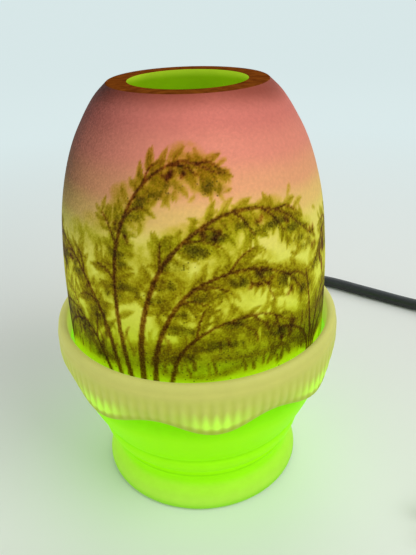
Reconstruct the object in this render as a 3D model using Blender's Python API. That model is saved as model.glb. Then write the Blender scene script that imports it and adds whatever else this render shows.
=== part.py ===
"""An electric fairy lamp: a glass dome on a ribbed, scalloped glass base.

A small screw-in bulb stands in a socket on a threaded nipple inside the bowl.
The lead leaves the foot's back, carries a rocker switch and ends in a plug.
Metres, +Z up. The origin is the middle of the lamp's underside, and -Y is its front.
"""

import math

import bmesh
import bpy
from mathutils import Matrix, Vector

# Clearances and shared values
FIT_GAP = 0.0003
CUT_OVERRUN = 0.002
FLOOR_CLEARANCE = 0.0002
SHARP_ANGLE = math.radians(32)
GLASS_SEGMENTS = 48
SMALL_SEGMENTS = 20
TINY_SEGMENTS = 10

# Shade
LAMP_HEIGHT = 0.1650
SHADE_RADIUS = 0.0517
SHADE_TOP_RADIUS = 0.0282
MOUTH_RADIUS = 0.0210
SHADE_WALL = 0.0036
SHADE_TOP_WALL = 0.0048
# Height above the seat and radius above the top radius, as shares of their whole
SHADE_OUTLINE_SHARES = (
    (0.0, 1.0),
    (0.18, 1.0),
    (0.35, 0.977),
    (0.51, 0.917),
    (0.60, 0.858),
    (0.68, 0.777),
    (0.755, 0.676),
    (0.82, 0.560),
    (0.877, 0.426),
    (0.92, 0.312),
    (0.96, 0.188),
    (1.0, 0.0),
)

# Glass base
FELT_THICKNESS = 0.0012
FOOT_RADIUS = 0.0430
BOWL_START = 0.0242
BOWL_LOW_RADIUS = 0.0426
BOWL_HIGH_RADIUS = 0.0530
SHADE_PLAY = 0.0019
LIP_WIDTH = 0.0036
COLLAR_PROUD = 0.00055
COLLAR_EDGE = 0.0553
COLLAR_TOP = 0.0756
SHOULDER_DROP = 0.0046
LEDGE_HEIGHT = 0.0637
LEDGE_WIDTH = 0.0061
FLOOR_THICKNESS = 0.0050
FLOOR_HEIGHT = 0.0270
STEM_HOLE_RADIUS = 0.0053
LOBE_COUNT = 8
LOBE_DEPTH = 0.0021
LOBE_FLARE = 0.0006
LOBE_AZIMUTH = math.radians(-85)
# Height up the foot, and radius as a share of the foot's
FOOT_OUTLINE_SHARES = (
    (0.0, 0.967),
    (0.02, 0.990),
    (0.06, 1.0),
    (0.21, 0.960),
    (0.34, 0.921),
    (0.46, 0.899),
    (0.60, 0.902),
    (0.69, 0.928),
    (0.76, 0.943),
    (0.82, 0.932),
    (0.87, 0.930),
    (0.94, 0.962),
)
# Height up the bowl, and radius between its lowest and its highest
BOWL_OUTLINE_SHARES = (
    (0.0, 0.0),
    (0.09, 0.07),
    (0.19, 0.19),
    (0.30, 0.346),
    (0.444, 0.567),
    (0.604, 0.81),
    (0.75, 0.935),
)
# Height above the bowl's floor, and radius as a share of the ledge's inner edge
BOWL_INSIDE_SHARES = (
    (0.63, 1.0),
    (0.50, 0.985),
    (0.36, 0.935),
    (0.20, 0.855),
    (0.08, 0.76),
    (0.02, 0.64),
    (0.0, 0.505),
)
# Height up the hollow under the floor, and radius as a share of the foot's
FOOT_INSIDE_SHARES = (
    (1.0, 0.60),
    (0.92, 0.71),
    (0.75, 0.775),
    (0.40, 0.815),
    (0.0, 0.86),
)
# The collar's outside from its lower edge up: height, radius and how far the lobes move it
COLLAR_OUTLINE_SHARES = (
    (0.0, -1.9, 1.0),
    (0.10, -0.55, 1.0),
    (0.28, -0.25, 0.7),
    (0.50, -0.06, 0.25),
    (1.0, 0.0, 0.0),
)

# Felt ring
FELT_WIDTH = 0.0042
FELT_INSET = 0.0020

# Nipple, washers, plates and nuts
NIPPLE_RADIUS = 0.0048
NIPPLE_BORE = 0.0033
NIPPLE_PROUD = 0.0010
PLATE_THICKNESS = 0.0012
UPPER_PLATE_RADIUS = 0.0165
LOWER_PLATE_RADIUS = 0.0140
WASHER_RADIUS = 0.0125
WASHER_THICKNESS = 0.0016
LOCK_WASHER_RADIUS = 0.0075
LOCK_WASHER_THICKNESS = 0.0010
NUT_FLAT = 0.0070
NUT_THICKNESS = 0.0032

# Socket
CUP_RADIUS = 0.0145
CUP_WALL = 0.0009
CUP_ABOVE_BODY_FOOT = 0.0098
WIRE_ROOM = 0.0055
SOCKET_BASE_THICKNESS = 0.0050
SOCKET_FLANGE_THICKNESS = 0.0020
SOCKET_NECK_RADIUS = 0.0120
TERMINAL_OFFSET = 0.0080
TERMINAL_HEAD_RADIUS = 0.0022
TERMINAL_HEAD_HEIGHT = 0.0016
TERMINAL_SHANK_RADIUS = 0.0012
TERMINAL_SHANK_LENGTH = 0.0038
CONTACT_RADIUS = 0.0026
CONTACT_HEIGHT = 0.0018
SHELL_WALL = 0.0005
SHELL_PLAY = 0.0004
THREAD_DEPTH = 0.00035
THREAD_WAVES = 4

# Bulb
BULB_RADIUS = 0.0110
BULB_LENGTH = 0.0380
BULB_WALL = 0.0008
BULB_CAP_RADIUS = 0.0060
BULB_CAP_LENGTH = 0.0128
BULB_TIP_HEIGHT = 0.0012
BULB_TIP_RADIUS = 0.0030
BULB_STEM_RADIUS = 0.0026
BULB_STEM_HEIGHT = 0.0120
FILAMENT_RADIUS = 0.0003
FILAMENT_SPAN = 0.0068
FILAMENT_RISE = 0.0075
BULB_OUTLINE_SHARES = (
    (0.0, 0.50),
    (0.07, 0.51),
    (0.17, 0.65),
    (0.30, 0.87),
    (0.42, 0.98),
    (0.52, 1.0),
    (0.63, 0.94),
    (0.74, 0.79),
    (0.85, 0.55),
    (0.94, 0.28),
    (1.0, 0.07),
)

# Lead inside the lamp
CORD_RADIUS = 0.0035
WIRE_RADIUS = 0.0011
WIRE_SPACING = 0.0030
EXIT_HEIGHT = 0.0105
TAIL_START = 0.0140
BOOT_BORE_PLAY = 0.0003
BOOT_WALL = 0.0013
BOOT_FLANGE_RADIUS = 0.0076
BOOT_FLANGE_PROUD = 0.0030
BOOT_LENGTH = 0.0240
BOOT_TIP_WALL = 0.0008
STOP_RADIUS = 0.0075
STOP_THICKNESS = 0.0035
STOP_SETBACK = 0.0003

# Cord on the table, with its switch, coil and plug
CORD_POINT_STEP = 2.3 * 2 * CORD_RADIUS
SWITCH_START = (0.1740, 0.0823)
SWITCH_HEADING = math.radians(-36)
COIL_CENTRE = (0.1980, -0.0120)
COIL_RADIUS = 0.0470
COIL_STEP = 0.0077
COIL_TURNS_IN = 2.75
COIL_TURNS_OUT = 3.0
COIL_POINTS_PER_TURN = 24
TIE_THICKNESS = 0.0008
TIE_WIDTH = 0.0100
TIE_AZIMUTH = math.radians(180)
PLUG_LEAD = 0.0330

# Between the boot and the switch, behind the lamp and out to its right
CORD_ROUTE = (
    (0.0010, 0.0900, 0.0066),
    (0.0060, 0.1060, 0.0038),
    (0.0180, 0.1270, 0.0037),
    (0.0380, 0.1430, 0.0037),
    (0.0640, 0.1500, 0.0037),
    (0.0890, 0.1440, 0.0037),
    (0.1150, 0.1255, 0.0037),
    (0.1400, 0.1070, 0.0037),
    (0.1550, 0.0961, 0.0062),
)
# Between the switch and the coil
CORD_ROUTE_2 = (
    (0.2380, 0.0335, 0.0056),
    (0.2430, 0.0205, 0.0041),
    (0.2449, 0.0100, 0.0042),
)

# Cord switch
SWITCH_LENGTH = 0.0620
SWITCH_WIDTH = 0.0250
SWITCH_LOWER_HEIGHT = 0.0078
SWITCH_UPPER_HEIGHT = 0.0078
SWITCH_EDGE = 0.0014
SWITCH_WALL = 0.0018
POCKET_LENGTH = 0.0300
ROCKER_LENGTH = 0.0170
ROCKER_WIDTH = 0.0110
ROCKER_END_RISE = 0.0036
ROCKER_MIDDLE_RISE = 0.0024
ROCKER_SKIRT = 0.0008
ROCKER_DEPTH = 0.0026
ROCKER_TILT = math.radians(11)
ROCKER_WINDOW_PLAY = 0.0007
PIVOT_DROP = 0.0020
PIN_RADIUS = 0.0010
PIN_SEAT = 0.0010
SWITCH_SCREW_OFFSET = 0.0205
SWITCH_SCREW_RADIUS = 0.0011
SWITCH_SCREW_HEAD_RADIUS = 0.0024
SWITCH_SCREW_HEAD_HEIGHT = 0.0014
SWITCH_SCREW_LENGTH = 0.0105
STRIP_WIDTH = 0.0050
STRIP_THICKNESS = 0.0006
STRIP_LENGTH = 0.0100
# A quarter of the housing's plan, as shares of half its length and half its width
SWITCH_PLAN_SHARES = ((1.0, 0.42), (0.975, 0.56), (0.84, 0.84), (0.66, 0.98), (0.50, 1.0))

# Plug
PLUG_NECK_LENGTH = 0.0220
PLUG_BODY_LENGTH = 0.0300
PLUG_WIDTH = 0.0260
PLUG_THICKNESS = 0.0180
BLADE_LENGTH = 0.0170
BLADE_HEIGHT = 0.0064
BLADE_THICKNESS = 0.0015
BLADE_SPACING = 0.0127
# Along the neck and the body, then half width and half thickness as shares
PLUG_NECK_SHARES = ((0.0, 0.36, 0.50), (0.5, 0.42, 0.56), (0.9, 0.55, 0.68))
PLUG_BODY_SHARES = ((0.1, 0.84, 0.90), (0.3, 0.97, 1.0), (0.85, 1.0, 1.0), (1.0, 0.92, 0.92))

# Places worked out from the sizes
RIM_BOTTOM = FELT_THICKNESS + FIT_GAP
SHADE_SEAT = LEDGE_HEIGHT + FIT_GAP
LIP_INNER_RADIUS = SHADE_RADIUS + SHADE_PLAY
LIP_OUTER_RADIUS = LIP_INNER_RADIUS + LIP_WIDTH
COLLAR_RADIUS = LIP_OUTER_RADIUS + COLLAR_PROUD
LEDGE_RADIUS = LIP_INNER_RADIUS - LEDGE_WIDTH
SHOULDER_HEIGHT = COLLAR_TOP - SHOULDER_DROP
FLOOR_UNDERSIDE = FLOOR_HEIGHT - FLOOR_THICKNESS
UPPER_WASHER_FOOT = FLOOR_HEIGHT + FIT_GAP
UPPER_PLATE_FOOT = UPPER_WASHER_FOOT + WASHER_THICKNESS + FIT_GAP
CUP_FOOT = UPPER_PLATE_FOOT + PLATE_THICKNESS + FIT_GAP
UPPER_NUT_FOOT = CUP_FOOT + PLATE_THICKNESS + FIT_GAP
NIPPLE_TOP = UPPER_NUT_FOOT + NUT_THICKNESS + NIPPLE_PROUD
LOWER_WASHER_TOP = FLOOR_UNDERSIDE - FIT_GAP
LOWER_PLATE_TOP = LOWER_WASHER_TOP - WASHER_THICKNESS - FIT_GAP
LOCK_WASHER_TOP = LOWER_PLATE_TOP - PLATE_THICKNESS - FIT_GAP
LOWER_NUT_TOP = LOCK_WASHER_TOP - LOCK_WASHER_THICKNESS - FIT_GAP
NIPPLE_FOOT = LOWER_NUT_TOP - NUT_THICKNESS - NIPPLE_PROUD
NIPPLE_FIT = NIPPLE_RADIUS + FIT_GAP
SOCKET_FOOT = NIPPLE_TOP + WIRE_ROOM
SOCKET_BODY_RADIUS = CUP_RADIUS - CUP_WALL - FIT_GAP
CUP_RIM = SOCKET_FOOT + CUP_ABOVE_BODY_FOOT
SOCKET_FLOOR = SOCKET_FOOT + SOCKET_BASE_THICKNESS
CONTACT_FOOT = SOCKET_FLOOR + FIT_GAP
BULB_TIP_FOOT = CONTACT_FOOT + CONTACT_HEIGHT + FIT_GAP
BULB_CAP_FOOT = BULB_TIP_FOOT + BULB_TIP_HEIGHT + FIT_GAP
BULB_CAP_TOP = BULB_CAP_FOOT + BULB_CAP_LENGTH
BULB_FOOT = BULB_CAP_TOP + FIT_GAP
SHELL_RADIUS = BULB_CAP_RADIUS + SHELL_PLAY + SHELL_WALL
SOCKET_CAVITY_RADIUS = SHELL_RADIUS + FIT_GAP
SOCKET_TOP = BULB_CAP_TOP
BOOT_BORE_RADIUS = CORD_RADIUS + BOOT_BORE_PLAY
BOOT_BARREL_RADIUS = BOOT_BORE_RADIUS + BOOT_WALL
BOOT_HOLE_RADIUS = BOOT_BARREL_RADIUS + FIT_GAP
BOOT_FLANGE_FRONT = FOOT_RADIUS + BOOT_FLANGE_PROUD
BOOT_TIP = BOOT_FLANGE_FRONT + BOOT_LENGTH
CORD_DIAMETER = 2 * CORD_RADIUS
SWITCH_AXIS_HEIGHT = FLOOR_CLEARANCE + SWITCH_LOWER_HEIGHT + FIT_GAP / 2
SWITCH_TOP = FLOOR_CLEARANCE + SWITCH_LOWER_HEIGHT + FIT_GAP + SWITCH_UPPER_HEIGHT
PIVOT_HEIGHT = SWITCH_TOP - PIVOT_DROP
COIL_LOW = FLOOR_CLEARANCE + TIE_THICKNESS + FIT_GAP + CORD_RADIUS
PLUG_AXIS_HEIGHT = FLOOR_CLEARANCE + PLUG_THICKNESS / 2

PLAIN_AXIS = (0, 0, 1)
BACKWARD_AXIS = (0, 1, 0)


def clear_scene():
    """Remove whatever the file opens with."""
    for thing in list(bpy.data.objects):
        bpy.data.objects.remove(thing)


def finish_of(name, colour, roughness, metallic=0.0, alpha=1.0):
    """A Principled material."""
    finish = bpy.data.materials.new(name)
    finish.use_nodes = True
    shader = finish.node_tree.nodes["Principled BSDF"]
    shader.inputs["Base Color"].default_value = (*colour, 1.0)
    shader.inputs["Roughness"].default_value = roughness
    shader.inputs["Metallic"].default_value = metallic
    shader.inputs["Alpha"].default_value = alpha
    return finish


def link(name, data, finish, parent=None):
    """Put a mesh or a curve in the scene as a named sub-part."""
    data.materials.append(finish)
    thing = bpy.data.objects.new(name, data)
    bpy.context.scene.collection.objects.link(thing)
    thing.parent = parent
    return thing


def mesh_of(name, skins):
    """One mesh from skins, each a list of rings that is closed on itself or capped at its ends."""
    form = bmesh.new()
    for rings, closed in skins:
        loops = [[form.verts.new(point) for point in ring] for ring in rings]
        pairs = list(zip(loops, loops[1:]))
        if closed:
            pairs.append((loops[-1], loops[0]))
        else:
            form.faces.new(loops[0])
            form.faces.new(loops[-1])
        for one, other in pairs:
            for index in range(len(one)):
                after = (index + 1) % len(one)
                form.faces.new((one[index], one[after], other[after], other[index]))
    bmesh.ops.recalc_face_normals(form, faces=form.faces)
    mesh = bpy.data.meshes.new(name)
    form.to_mesh(mesh)
    form.free()
    mesh.shade_smooth()
    mesh.set_sharp_from_angle(angle=SHARP_ANGLE)
    return mesh


def solid(name, skins, finish, parent=None):
    """A sub-part made of one or more skins."""
    return link(name, mesh_of(name, skins), finish, parent)


def cut(target, skins):
    """Cut the skins' space out of a sub-part."""
    cutter = bpy.data.objects.new(target.name + "_cutter", mesh_of("cutter", skins))
    bpy.context.scene.collection.objects.link(cutter)
    cutter.parent = target.parent
    cutter.hide_render = True
    cutter.display_type = "WIRE"
    modifier = target.modifiers.new("cut", "BOOLEAN")
    modifier.operation = "DIFFERENCE"
    modifier.solver = "EXACT"
    modifier.object = cutter


def round_ring(radius, height, segments=SMALL_SEGMENTS):
    """A circle of points about the Z axis."""
    ring = []
    for index in range(segments):
        angle = 2 * math.pi * index / segments
        ring.append(Vector((radius * math.cos(angle), radius * math.sin(angle), height)))
    return ring


def hex_ring(flat, height, segments):
    """Points round a hexagon whose flats lie this far from the Z axis."""
    ring = []
    for index in range(segments):
        angle = 2 * math.pi * index / segments
        off_flat = (angle + math.pi / 6) % (math.pi / 3) - math.pi / 6
        reach = flat / math.cos(off_flat)
        ring.append(Vector((reach * math.cos(angle), reach * math.sin(angle), height)))
    return ring


def turned(outline, closed, segments=SMALL_SEGMENTS, axis=PLAIN_AXIS, place=(0, 0, 0)):
    """A turned skin from radius and height pairs, along any axis and at any place."""
    turn = Vector(PLAIN_AXIS).rotation_difference(Vector(axis)).to_matrix()
    rings = []
    for radius, height in outline:
        ring = round_ring(radius, height, segments)
        rings.append([turn @ point + Vector(place) for point in ring])
    return rings, closed


def washer(inner, outer, low, high, segments=SMALL_SEGMENTS):
    """A flat ring's skin."""
    outline = ((inner, low), (outer, low), (outer, high), (inner, high))
    return turned(outline, True, segments)


def rod(radius, low, high, segments=TINY_SEGMENTS, axis=PLAIN_AXIS, place=(0, 0, 0)):
    """A plain round rod's skin."""
    return turned(((radius, low), (radius, high)), False, segments, axis, place)


def block(low, high):
    """A box's skin between two corners."""
    corners = ((0, 0), (1, 0), (1, 1), (0, 1))
    ends = (low, high)
    rings = []
    for height in (low[2], high[2]):
        rings.append([Vector((ends[x][0], ends[y][1], height)) for x, y in corners])
    return rings, False


def tube(name, points, radius, finish, resolution=2, parent=None):
    """A round tube along the points, with capped ends."""
    curve = bpy.data.curves.new(name, "CURVE")
    curve.dimensions = "3D"
    curve.bevel_depth = radius
    curve.bevel_resolution = resolution
    curve.use_fill_caps = True
    spline = curve.splines.new("POLY")
    spline.points.add(len(points) - 1)
    for place, point in zip(spline.points, points):
        place.co = (*point, 1.0)
    return link(name, curve, finish, parent)


def smooth_curve(places, steps=24):
    """A fine smooth curve through all places but the first and the last, which steer its ends."""
    fine = []
    for before, start, end, after in zip(places, places[1:], places[2:], places[3:]):
        leave = (end - before) / 2
        arrive = (after - start) / 2
        for step in range(steps):
            share = step / steps
            square = share * share
            cube = square * share
            point = start * (2 * cube - 3 * square + 1) + leave * (cube - 2 * square + share)
            point += end * (3 * square - 2 * cube) + arrive * (cube - square)
            fine.append(point)
    fine.append(places[-2])
    return fine


def length_of(points):
    """The length of a run of points."""
    return sum((after - before).length for before, after in zip(points, points[1:]))


def evenly(points, step):
    """The same run with its points about one step apart."""
    count = max(2, round(length_of(points) / step))
    stride = length_of(points) / count
    spaced = [points[0]]
    travelled = 0.0
    for before, after in zip(points, points[1:]):
        leg = (after - before).length
        while leg > 0 and len(spaced) < count and travelled + leg >= stride * len(spaced):
            spaced.append(before.lerp(after, (stride * len(spaced) - travelled) / leg))
        travelled += leg
    spaced.append(points[-1])
    return spaced


def cord_points(places):
    """A cord's points: straight at both ends and evenly spaced along a smooth curve between."""
    places = [Vector(place) for place in places]
    middle = evenly(smooth_curve(places), CORD_POINT_STEP)
    return [places[0], *middle, places[-1]]


def make_finishes():
    """Every material, by name."""
    return {
        "shade_glass": finish_of("shade_glass", (0.80, 0.52, 0.36), 0.55),
        "base_glass": finish_of("base_glass", (0.62, 0.86, 0.22), 0.5),
        "felt": finish_of("felt", (0.10, 0.16, 0.09), 0.95),
        "brass": finish_of("brass", (0.70, 0.52, 0.24), 0.32, 1.0),
        "steel": finish_of("steel", (0.62, 0.62, 0.62), 0.35, 1.0),
        "washer_rubber": finish_of("washer_rubber", (0.05, 0.05, 0.05), 0.8),
        "socket_phenolic": finish_of("socket_phenolic", (0.06, 0.045, 0.04), 0.4),
        "wire_black": finish_of("wire_black", (0.03, 0.03, 0.03), 0.5),
        "wire_white": finish_of("wire_white", (0.75, 0.75, 0.72), 0.5),
        "bulb_glass": finish_of("bulb_glass", (0.98, 0.96, 0.90), 0.1, alpha=0.4),
        "stem_glass": finish_of("stem_glass", (0.85, 0.90, 0.90), 0.1, alpha=0.6),
        "filament": finish_of("filament", (0.9, 0.6, 0.25), 0.4, 1.0),
        "boot_rubber": finish_of("boot_rubber", (0.03, 0.03, 0.03), 0.7),
        "cord_black": finish_of("cord_black", (0.02, 0.02, 0.022), 0.45),
        "switch_plastic": finish_of("switch_plastic", (0.03, 0.03, 0.03), 0.35),
        "rocker_plastic": finish_of("rocker_plastic", (0.04, 0.04, 0.04), 0.25),
        "plug_plastic": finish_of("plug_plastic", (0.03, 0.03, 0.03), 0.45),
        "tie": finish_of("tie", (0.05, 0.05, 0.05), 0.9),
    }


def make_shade(finish):
    """The glass dome: open at its foot, with a flat ground rim round its mouth."""
    span = LAMP_HEIGHT - SHADE_SEAT
    spread = SHADE_RADIUS - SHADE_TOP_RADIUS
    outer = []
    for height_share, radius_share in SHADE_OUTLINE_SHARES:
        outer.append((SHADE_TOP_RADIUS + spread * radius_share, SHADE_SEAT + span * height_share))
    inner = []
    for index, (radius, height) in enumerate(outer[:-1]):
        before = outer[max(index - 1, 0)]
        after = outer[index + 1]
        along = Vector((after[0] - before[0], after[1] - before[1])).normalized()
        rise_share = SHADE_OUTLINE_SHARES[index][0]
        wall = SHADE_WALL + (SHADE_TOP_WALL - SHADE_WALL) * rise_share
        drop = wall * along.x if index else 0
        inner.append((radius - wall * along.y, height + drop))
    outline = [*outer, (MOUTH_RADIUS, LAMP_HEIGHT), *reversed(inner)]
    return solid("shade", [turned(outline, True, GLASS_SEGMENTS)], finish)


def foot_outline():
    """The foot's outside, from its rim up to the bowl."""
    span = BOWL_START - RIM_BOTTOM
    return [(FOOT_RADIUS * radius, RIM_BOTTOM + span * height) for height, radius in FOOT_OUTLINE_SHARES]


def foot_radius_at(height):
    """The foot's outer radius at a height."""
    outline = foot_outline()
    for (low_radius, low), (high_radius, high) in zip(outline, outline[1:]):
        if low <= height <= high:
            return low_radius + (high_radius - low_radius) * (height - low) / (high - low)
    return outline[0][0] if height < outline[0][1] else outline[-1][0]


def base_outline():
    """The base's whole section: radius, height and how far the lobes move each point."""
    outline = [(radius, height, 0) for radius, height in foot_outline()]
    bowl_span = COLLAR_EDGE - BOWL_START
    bowl_spread = BOWL_HIGH_RADIUS - BOWL_LOW_RADIUS
    for height, radius in BOWL_OUTLINE_SHARES:
        outline.append((BOWL_LOW_RADIUS + bowl_spread * radius, BOWL_START + bowl_span * height, 0))
    collar_span = SHOULDER_HEIGHT - COLLAR_EDGE
    outline.append((BOWL_HIGH_RADIUS, COLLAR_EDGE + LOBE_FLARE, 1))
    for height, inset, lobes in COLLAR_OUTLINE_SHARES:
        outline.append((COLLAR_RADIUS + LOBE_DEPTH * inset, COLLAR_EDGE + collar_span * height, lobes))
    lip_middle = LIP_OUTER_RADIUS - LIP_WIDTH / 2
    outline += [
        (LIP_OUTER_RADIUS, SHOULDER_HEIGHT + SHOULDER_DROP / 4, 0),
        (LIP_OUTER_RADIUS - LIP_WIDTH / 12, COLLAR_TOP - SHOULDER_DROP / 4, 0),
        (lip_middle + LIP_WIDTH / 5, COLLAR_TOP, 0),
        (lip_middle - LIP_WIDTH / 5, COLLAR_TOP, 0),
        (LIP_INNER_RADIUS, COLLAR_TOP - SHOULDER_DROP / 5, 0),
        (LIP_INNER_RADIUS, LEDGE_HEIGHT, 0),
        (LEDGE_RADIUS, LEDGE_HEIGHT, 0),
    ]
    bowl_depth = LEDGE_HEIGHT - FLOOR_HEIGHT
    for height, radius in BOWL_INSIDE_SHARES:
        outline.append((LEDGE_RADIUS * radius, FLOOR_HEIGHT + bowl_depth * height, 0))
    outline += [(STEM_HOLE_RADIUS, FLOOR_HEIGHT, 0), (STEM_HOLE_RADIUS, FLOOR_UNDERSIDE, 0)]
    hollow = FLOOR_UNDERSIDE - RIM_BOTTOM
    for height, radius in FOOT_INSIDE_SHARES:
        outline.append((FOOT_RADIUS * radius, RIM_BOTTOM + hollow * height, 0))
    return outline


def make_base_glass(finish):
    """The pressed glass base: foot, bowl, ledge and scalloped collar in one piece."""
    rings = []
    for radius, height, lobes in base_outline():
        ring = []
        for index in range(GLASS_SEGMENTS):
            angle = 2 * math.pi * index / GLASS_SEGMENTS
            wave = lobes * math.cos(LOBE_COUNT * (angle - LOBE_AZIMUTH))
            reach = radius + LOBE_FLARE * wave
            drop = LOBE_DEPTH * wave
            ring.append(Vector((reach * math.cos(angle), reach * math.sin(angle), height - drop)))
        rings.append(ring)
    base = solid("base_glass", [(rings, True)], finish)
    middle = (0, 0, EXIT_HEIGHT)
    low = FOOT_RADIUS / 2
    high = FOOT_RADIUS + CUT_OVERRUN
    cut(base, [rod(BOOT_HOLE_RADIUS, low, high, SMALL_SEGMENTS, BACKWARD_AXIS, middle)])
    return base


def make_felt_ring(finish):
    """The felt ring that the foot's rim stands on."""
    outer = FOOT_RADIUS - FELT_INSET
    return solid("felt_ring", [washer(outer - FELT_WIDTH, outer, 0, FELT_THICKNESS, GLASS_SEGMENTS)], finish)


def make_stem_parts(finishes):
    """The threaded nipple with the plates, washers and nuts that it clamps the bowl's floor between."""
    nipple = washer(NIPPLE_BORE, NIPPLE_RADIUS, NIPPLE_FOOT, NIPPLE_TOP)
    solid("threaded_nipple", [nipple], finishes["brass"])
    rings = (
        ("upper_rubber_washer", WASHER_RADIUS, UPPER_WASHER_FOOT, WASHER_THICKNESS, "washer_rubber"),
        ("upper_check_plate", UPPER_PLATE_RADIUS, UPPER_PLATE_FOOT, PLATE_THICKNESS, "brass"),
        ("lower_rubber_washer", WASHER_RADIUS, LOWER_WASHER_TOP, -WASHER_THICKNESS, "washer_rubber"),
        ("lower_check_plate", LOWER_PLATE_RADIUS, LOWER_PLATE_TOP, -PLATE_THICKNESS, "brass"),
        ("lock_washer", LOCK_WASHER_RADIUS, LOCK_WASHER_TOP, -LOCK_WASHER_THICKNESS, "steel"),
    )
    for name, radius, level, thickness, finish in rings:
        solid(name, [washer(NIPPLE_FIT, radius, level, level + thickness)], finishes[finish])
    nut_segments = 24
    for name, low in (("upper_nut", UPPER_NUT_FOOT), ("lower_nut", LOWER_NUT_TOP - NUT_THICKNESS)):
        high = low + NUT_THICKNESS
        rings = [
            round_ring(NIPPLE_FIT, low, nut_segments),
            hex_ring(NUT_FLAT, low, nut_segments),
            hex_ring(NUT_FLAT, high, nut_segments),
            round_ring(NIPPLE_FIT, high, nut_segments),
        ]
        solid(name, [(rings, True)], finishes["steel"])


def make_socket_cup(finish):
    """The brass cup on the nipple that holds the socket."""
    outline = (
        (NIPPLE_FIT, CUP_FOOT),
        (CUP_RADIUS - CUP_WALL, CUP_FOOT),
        (CUP_RADIUS, CUP_FOOT + CUP_WALL),
        (CUP_RADIUS, CUP_RIM),
        (CUP_RADIUS - CUP_WALL, CUP_RIM),
        (CUP_RADIUS - CUP_WALL, CUP_FOOT + PLATE_THICKNESS),
        (NIPPLE_FIT, CUP_FOOT + PLATE_THICKNESS),
    )
    return solid("socket_cup", [turned(outline, True, GLASS_SEGMENTS // 2)], finish)


def make_socket_body(finish):
    """The insulating socket body, whose flange sits on the cup's rim."""
    flange_foot = CUP_RIM + FIT_GAP
    flange_top = flange_foot + SOCKET_FLANGE_THICKNESS
    outline = (
        (SOCKET_BODY_RADIUS, SOCKET_FOOT),
        (SOCKET_BODY_RADIUS, flange_foot),
        (CUP_RADIUS, flange_foot),
        (CUP_RADIUS, flange_top),
        (SOCKET_NECK_RADIUS, flange_top),
        (SOCKET_NECK_RADIUS, SOCKET_TOP),
        (SOCKET_CAVITY_RADIUS, SOCKET_TOP),
        (SOCKET_CAVITY_RADIUS, SOCKET_FLOOR),
    )
    body = solid("socket_body", [turned(outline, False, GLASS_SEGMENTS // 2)], finish)
    hole = TERMINAL_SHANK_RADIUS + FIT_GAP
    low = SOCKET_FOOT - CUT_OVERRUN
    high = SOCKET_FOOT + TERMINAL_SHANK_LENGTH + FIT_GAP
    places = ((TERMINAL_OFFSET, 0, 0), (-TERMINAL_OFFSET, 0, 0))
    cut(body, [rod(hole, low, high, TINY_SEGMENTS, PLAIN_AXIS, place) for place in places])
    return body


def thread_wave(share):
    """How deep the rounded thread is at a share of its length."""
    return THREAD_DEPTH * (1 - math.cos(2 * math.pi * THREAD_WAVES * share)) / 2


def thread_outline(radius, low, high):
    """A rounded thread's outline, four points to a wave."""
    steps = 4 * THREAD_WAVES
    shares = [step / steps for step in range(steps + 1)]
    return [(radius - thread_wave(share), low + (high - low) * share) for share in shares]


def make_screw_shell(finish):
    """The socket's threaded brass shell."""
    inner = thread_outline(BULB_CAP_RADIUS + SHELL_PLAY, BULB_CAP_FOOT, BULB_CAP_TOP)
    outline = [(SHELL_RADIUS, BULB_CAP_FOOT), (SHELL_RADIUS, BULB_CAP_TOP), *reversed(inner)]
    return solid("screw_shell", [turned(outline, True)], finish)


def make_centre_contact(finish):
    """The spring contact on the socket's floor."""
    outline = (
        (CONTACT_RADIUS, CONTACT_FOOT),
        (CONTACT_RADIUS, CONTACT_FOOT + CONTACT_HEIGHT / 3),
        (CONTACT_RADIUS / 2, CONTACT_FOOT + CONTACT_HEIGHT),
    )
    return solid("centre_contact", [turned(outline, False, TINY_SEGMENTS)], finish)


def make_terminal_screws(finish):
    """The two screws under the socket body that hold the wires."""
    head_top = SOCKET_FOOT - FIT_GAP
    outline = (
        (TERMINAL_HEAD_RADIUS, head_top - TERMINAL_HEAD_HEIGHT),
        (TERMINAL_HEAD_RADIUS, head_top),
        (TERMINAL_SHANK_RADIUS, head_top),
        (TERMINAL_SHANK_RADIUS, SOCKET_FOOT + TERMINAL_SHANK_LENGTH),
    )
    for name, side in (("terminal_screw_line", 1), ("terminal_screw_neutral", -1)):
        place = (side * TERMINAL_OFFSET, 0, 0)
        solid(name, [turned(outline, False, TINY_SEGMENTS, PLAIN_AXIS, place)], finish)


def make_wire(name, side, finish):
    """One conductor, from the cord's end up through the nipple to its terminal."""
    across = side * WIRE_SPACING / 2
    terminal = side * (TERMINAL_OFFSET - TERMINAL_HEAD_RADIUS - FIT_GAP)
    level = SOCKET_FOOT - FIT_GAP - TERMINAL_HEAD_HEIGHT / 2
    low = NIPPLE_FOOT - FIT_GAP - 2 * WIRE_RADIUS
    places = [
        (across, TAIL_START - FIT_GAP, EXIT_HEIGHT),
        (across, TAIL_START - 2 * WIRE_RADIUS, EXIT_HEIGHT),
        (across, TAIL_START / 2, low),
        (across, WIRE_SPACING, low - WIRE_RADIUS / 2),
        (across, WIRE_RADIUS / 4, low + WIRE_RADIUS),
        (across, 0, NIPPLE_FOOT + NUT_THICKNESS),
        (across, 0, FLOOR_HEIGHT),
        (across, 0, NIPPLE_TOP),
        (across + side * WIRE_RADIUS / 2, 0, level - WIRE_RADIUS),
        (terminal - side * WIRE_RADIUS, 0, level),
        (terminal, 0, level),
    ]
    places = [Vector(place) for place in places]
    points = [places[0], *evenly(smooth_curve(places), 2 * WIRE_RADIUS), places[-1]]
    return tube(name, points, WIRE_RADIUS, finish, 1)


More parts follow.
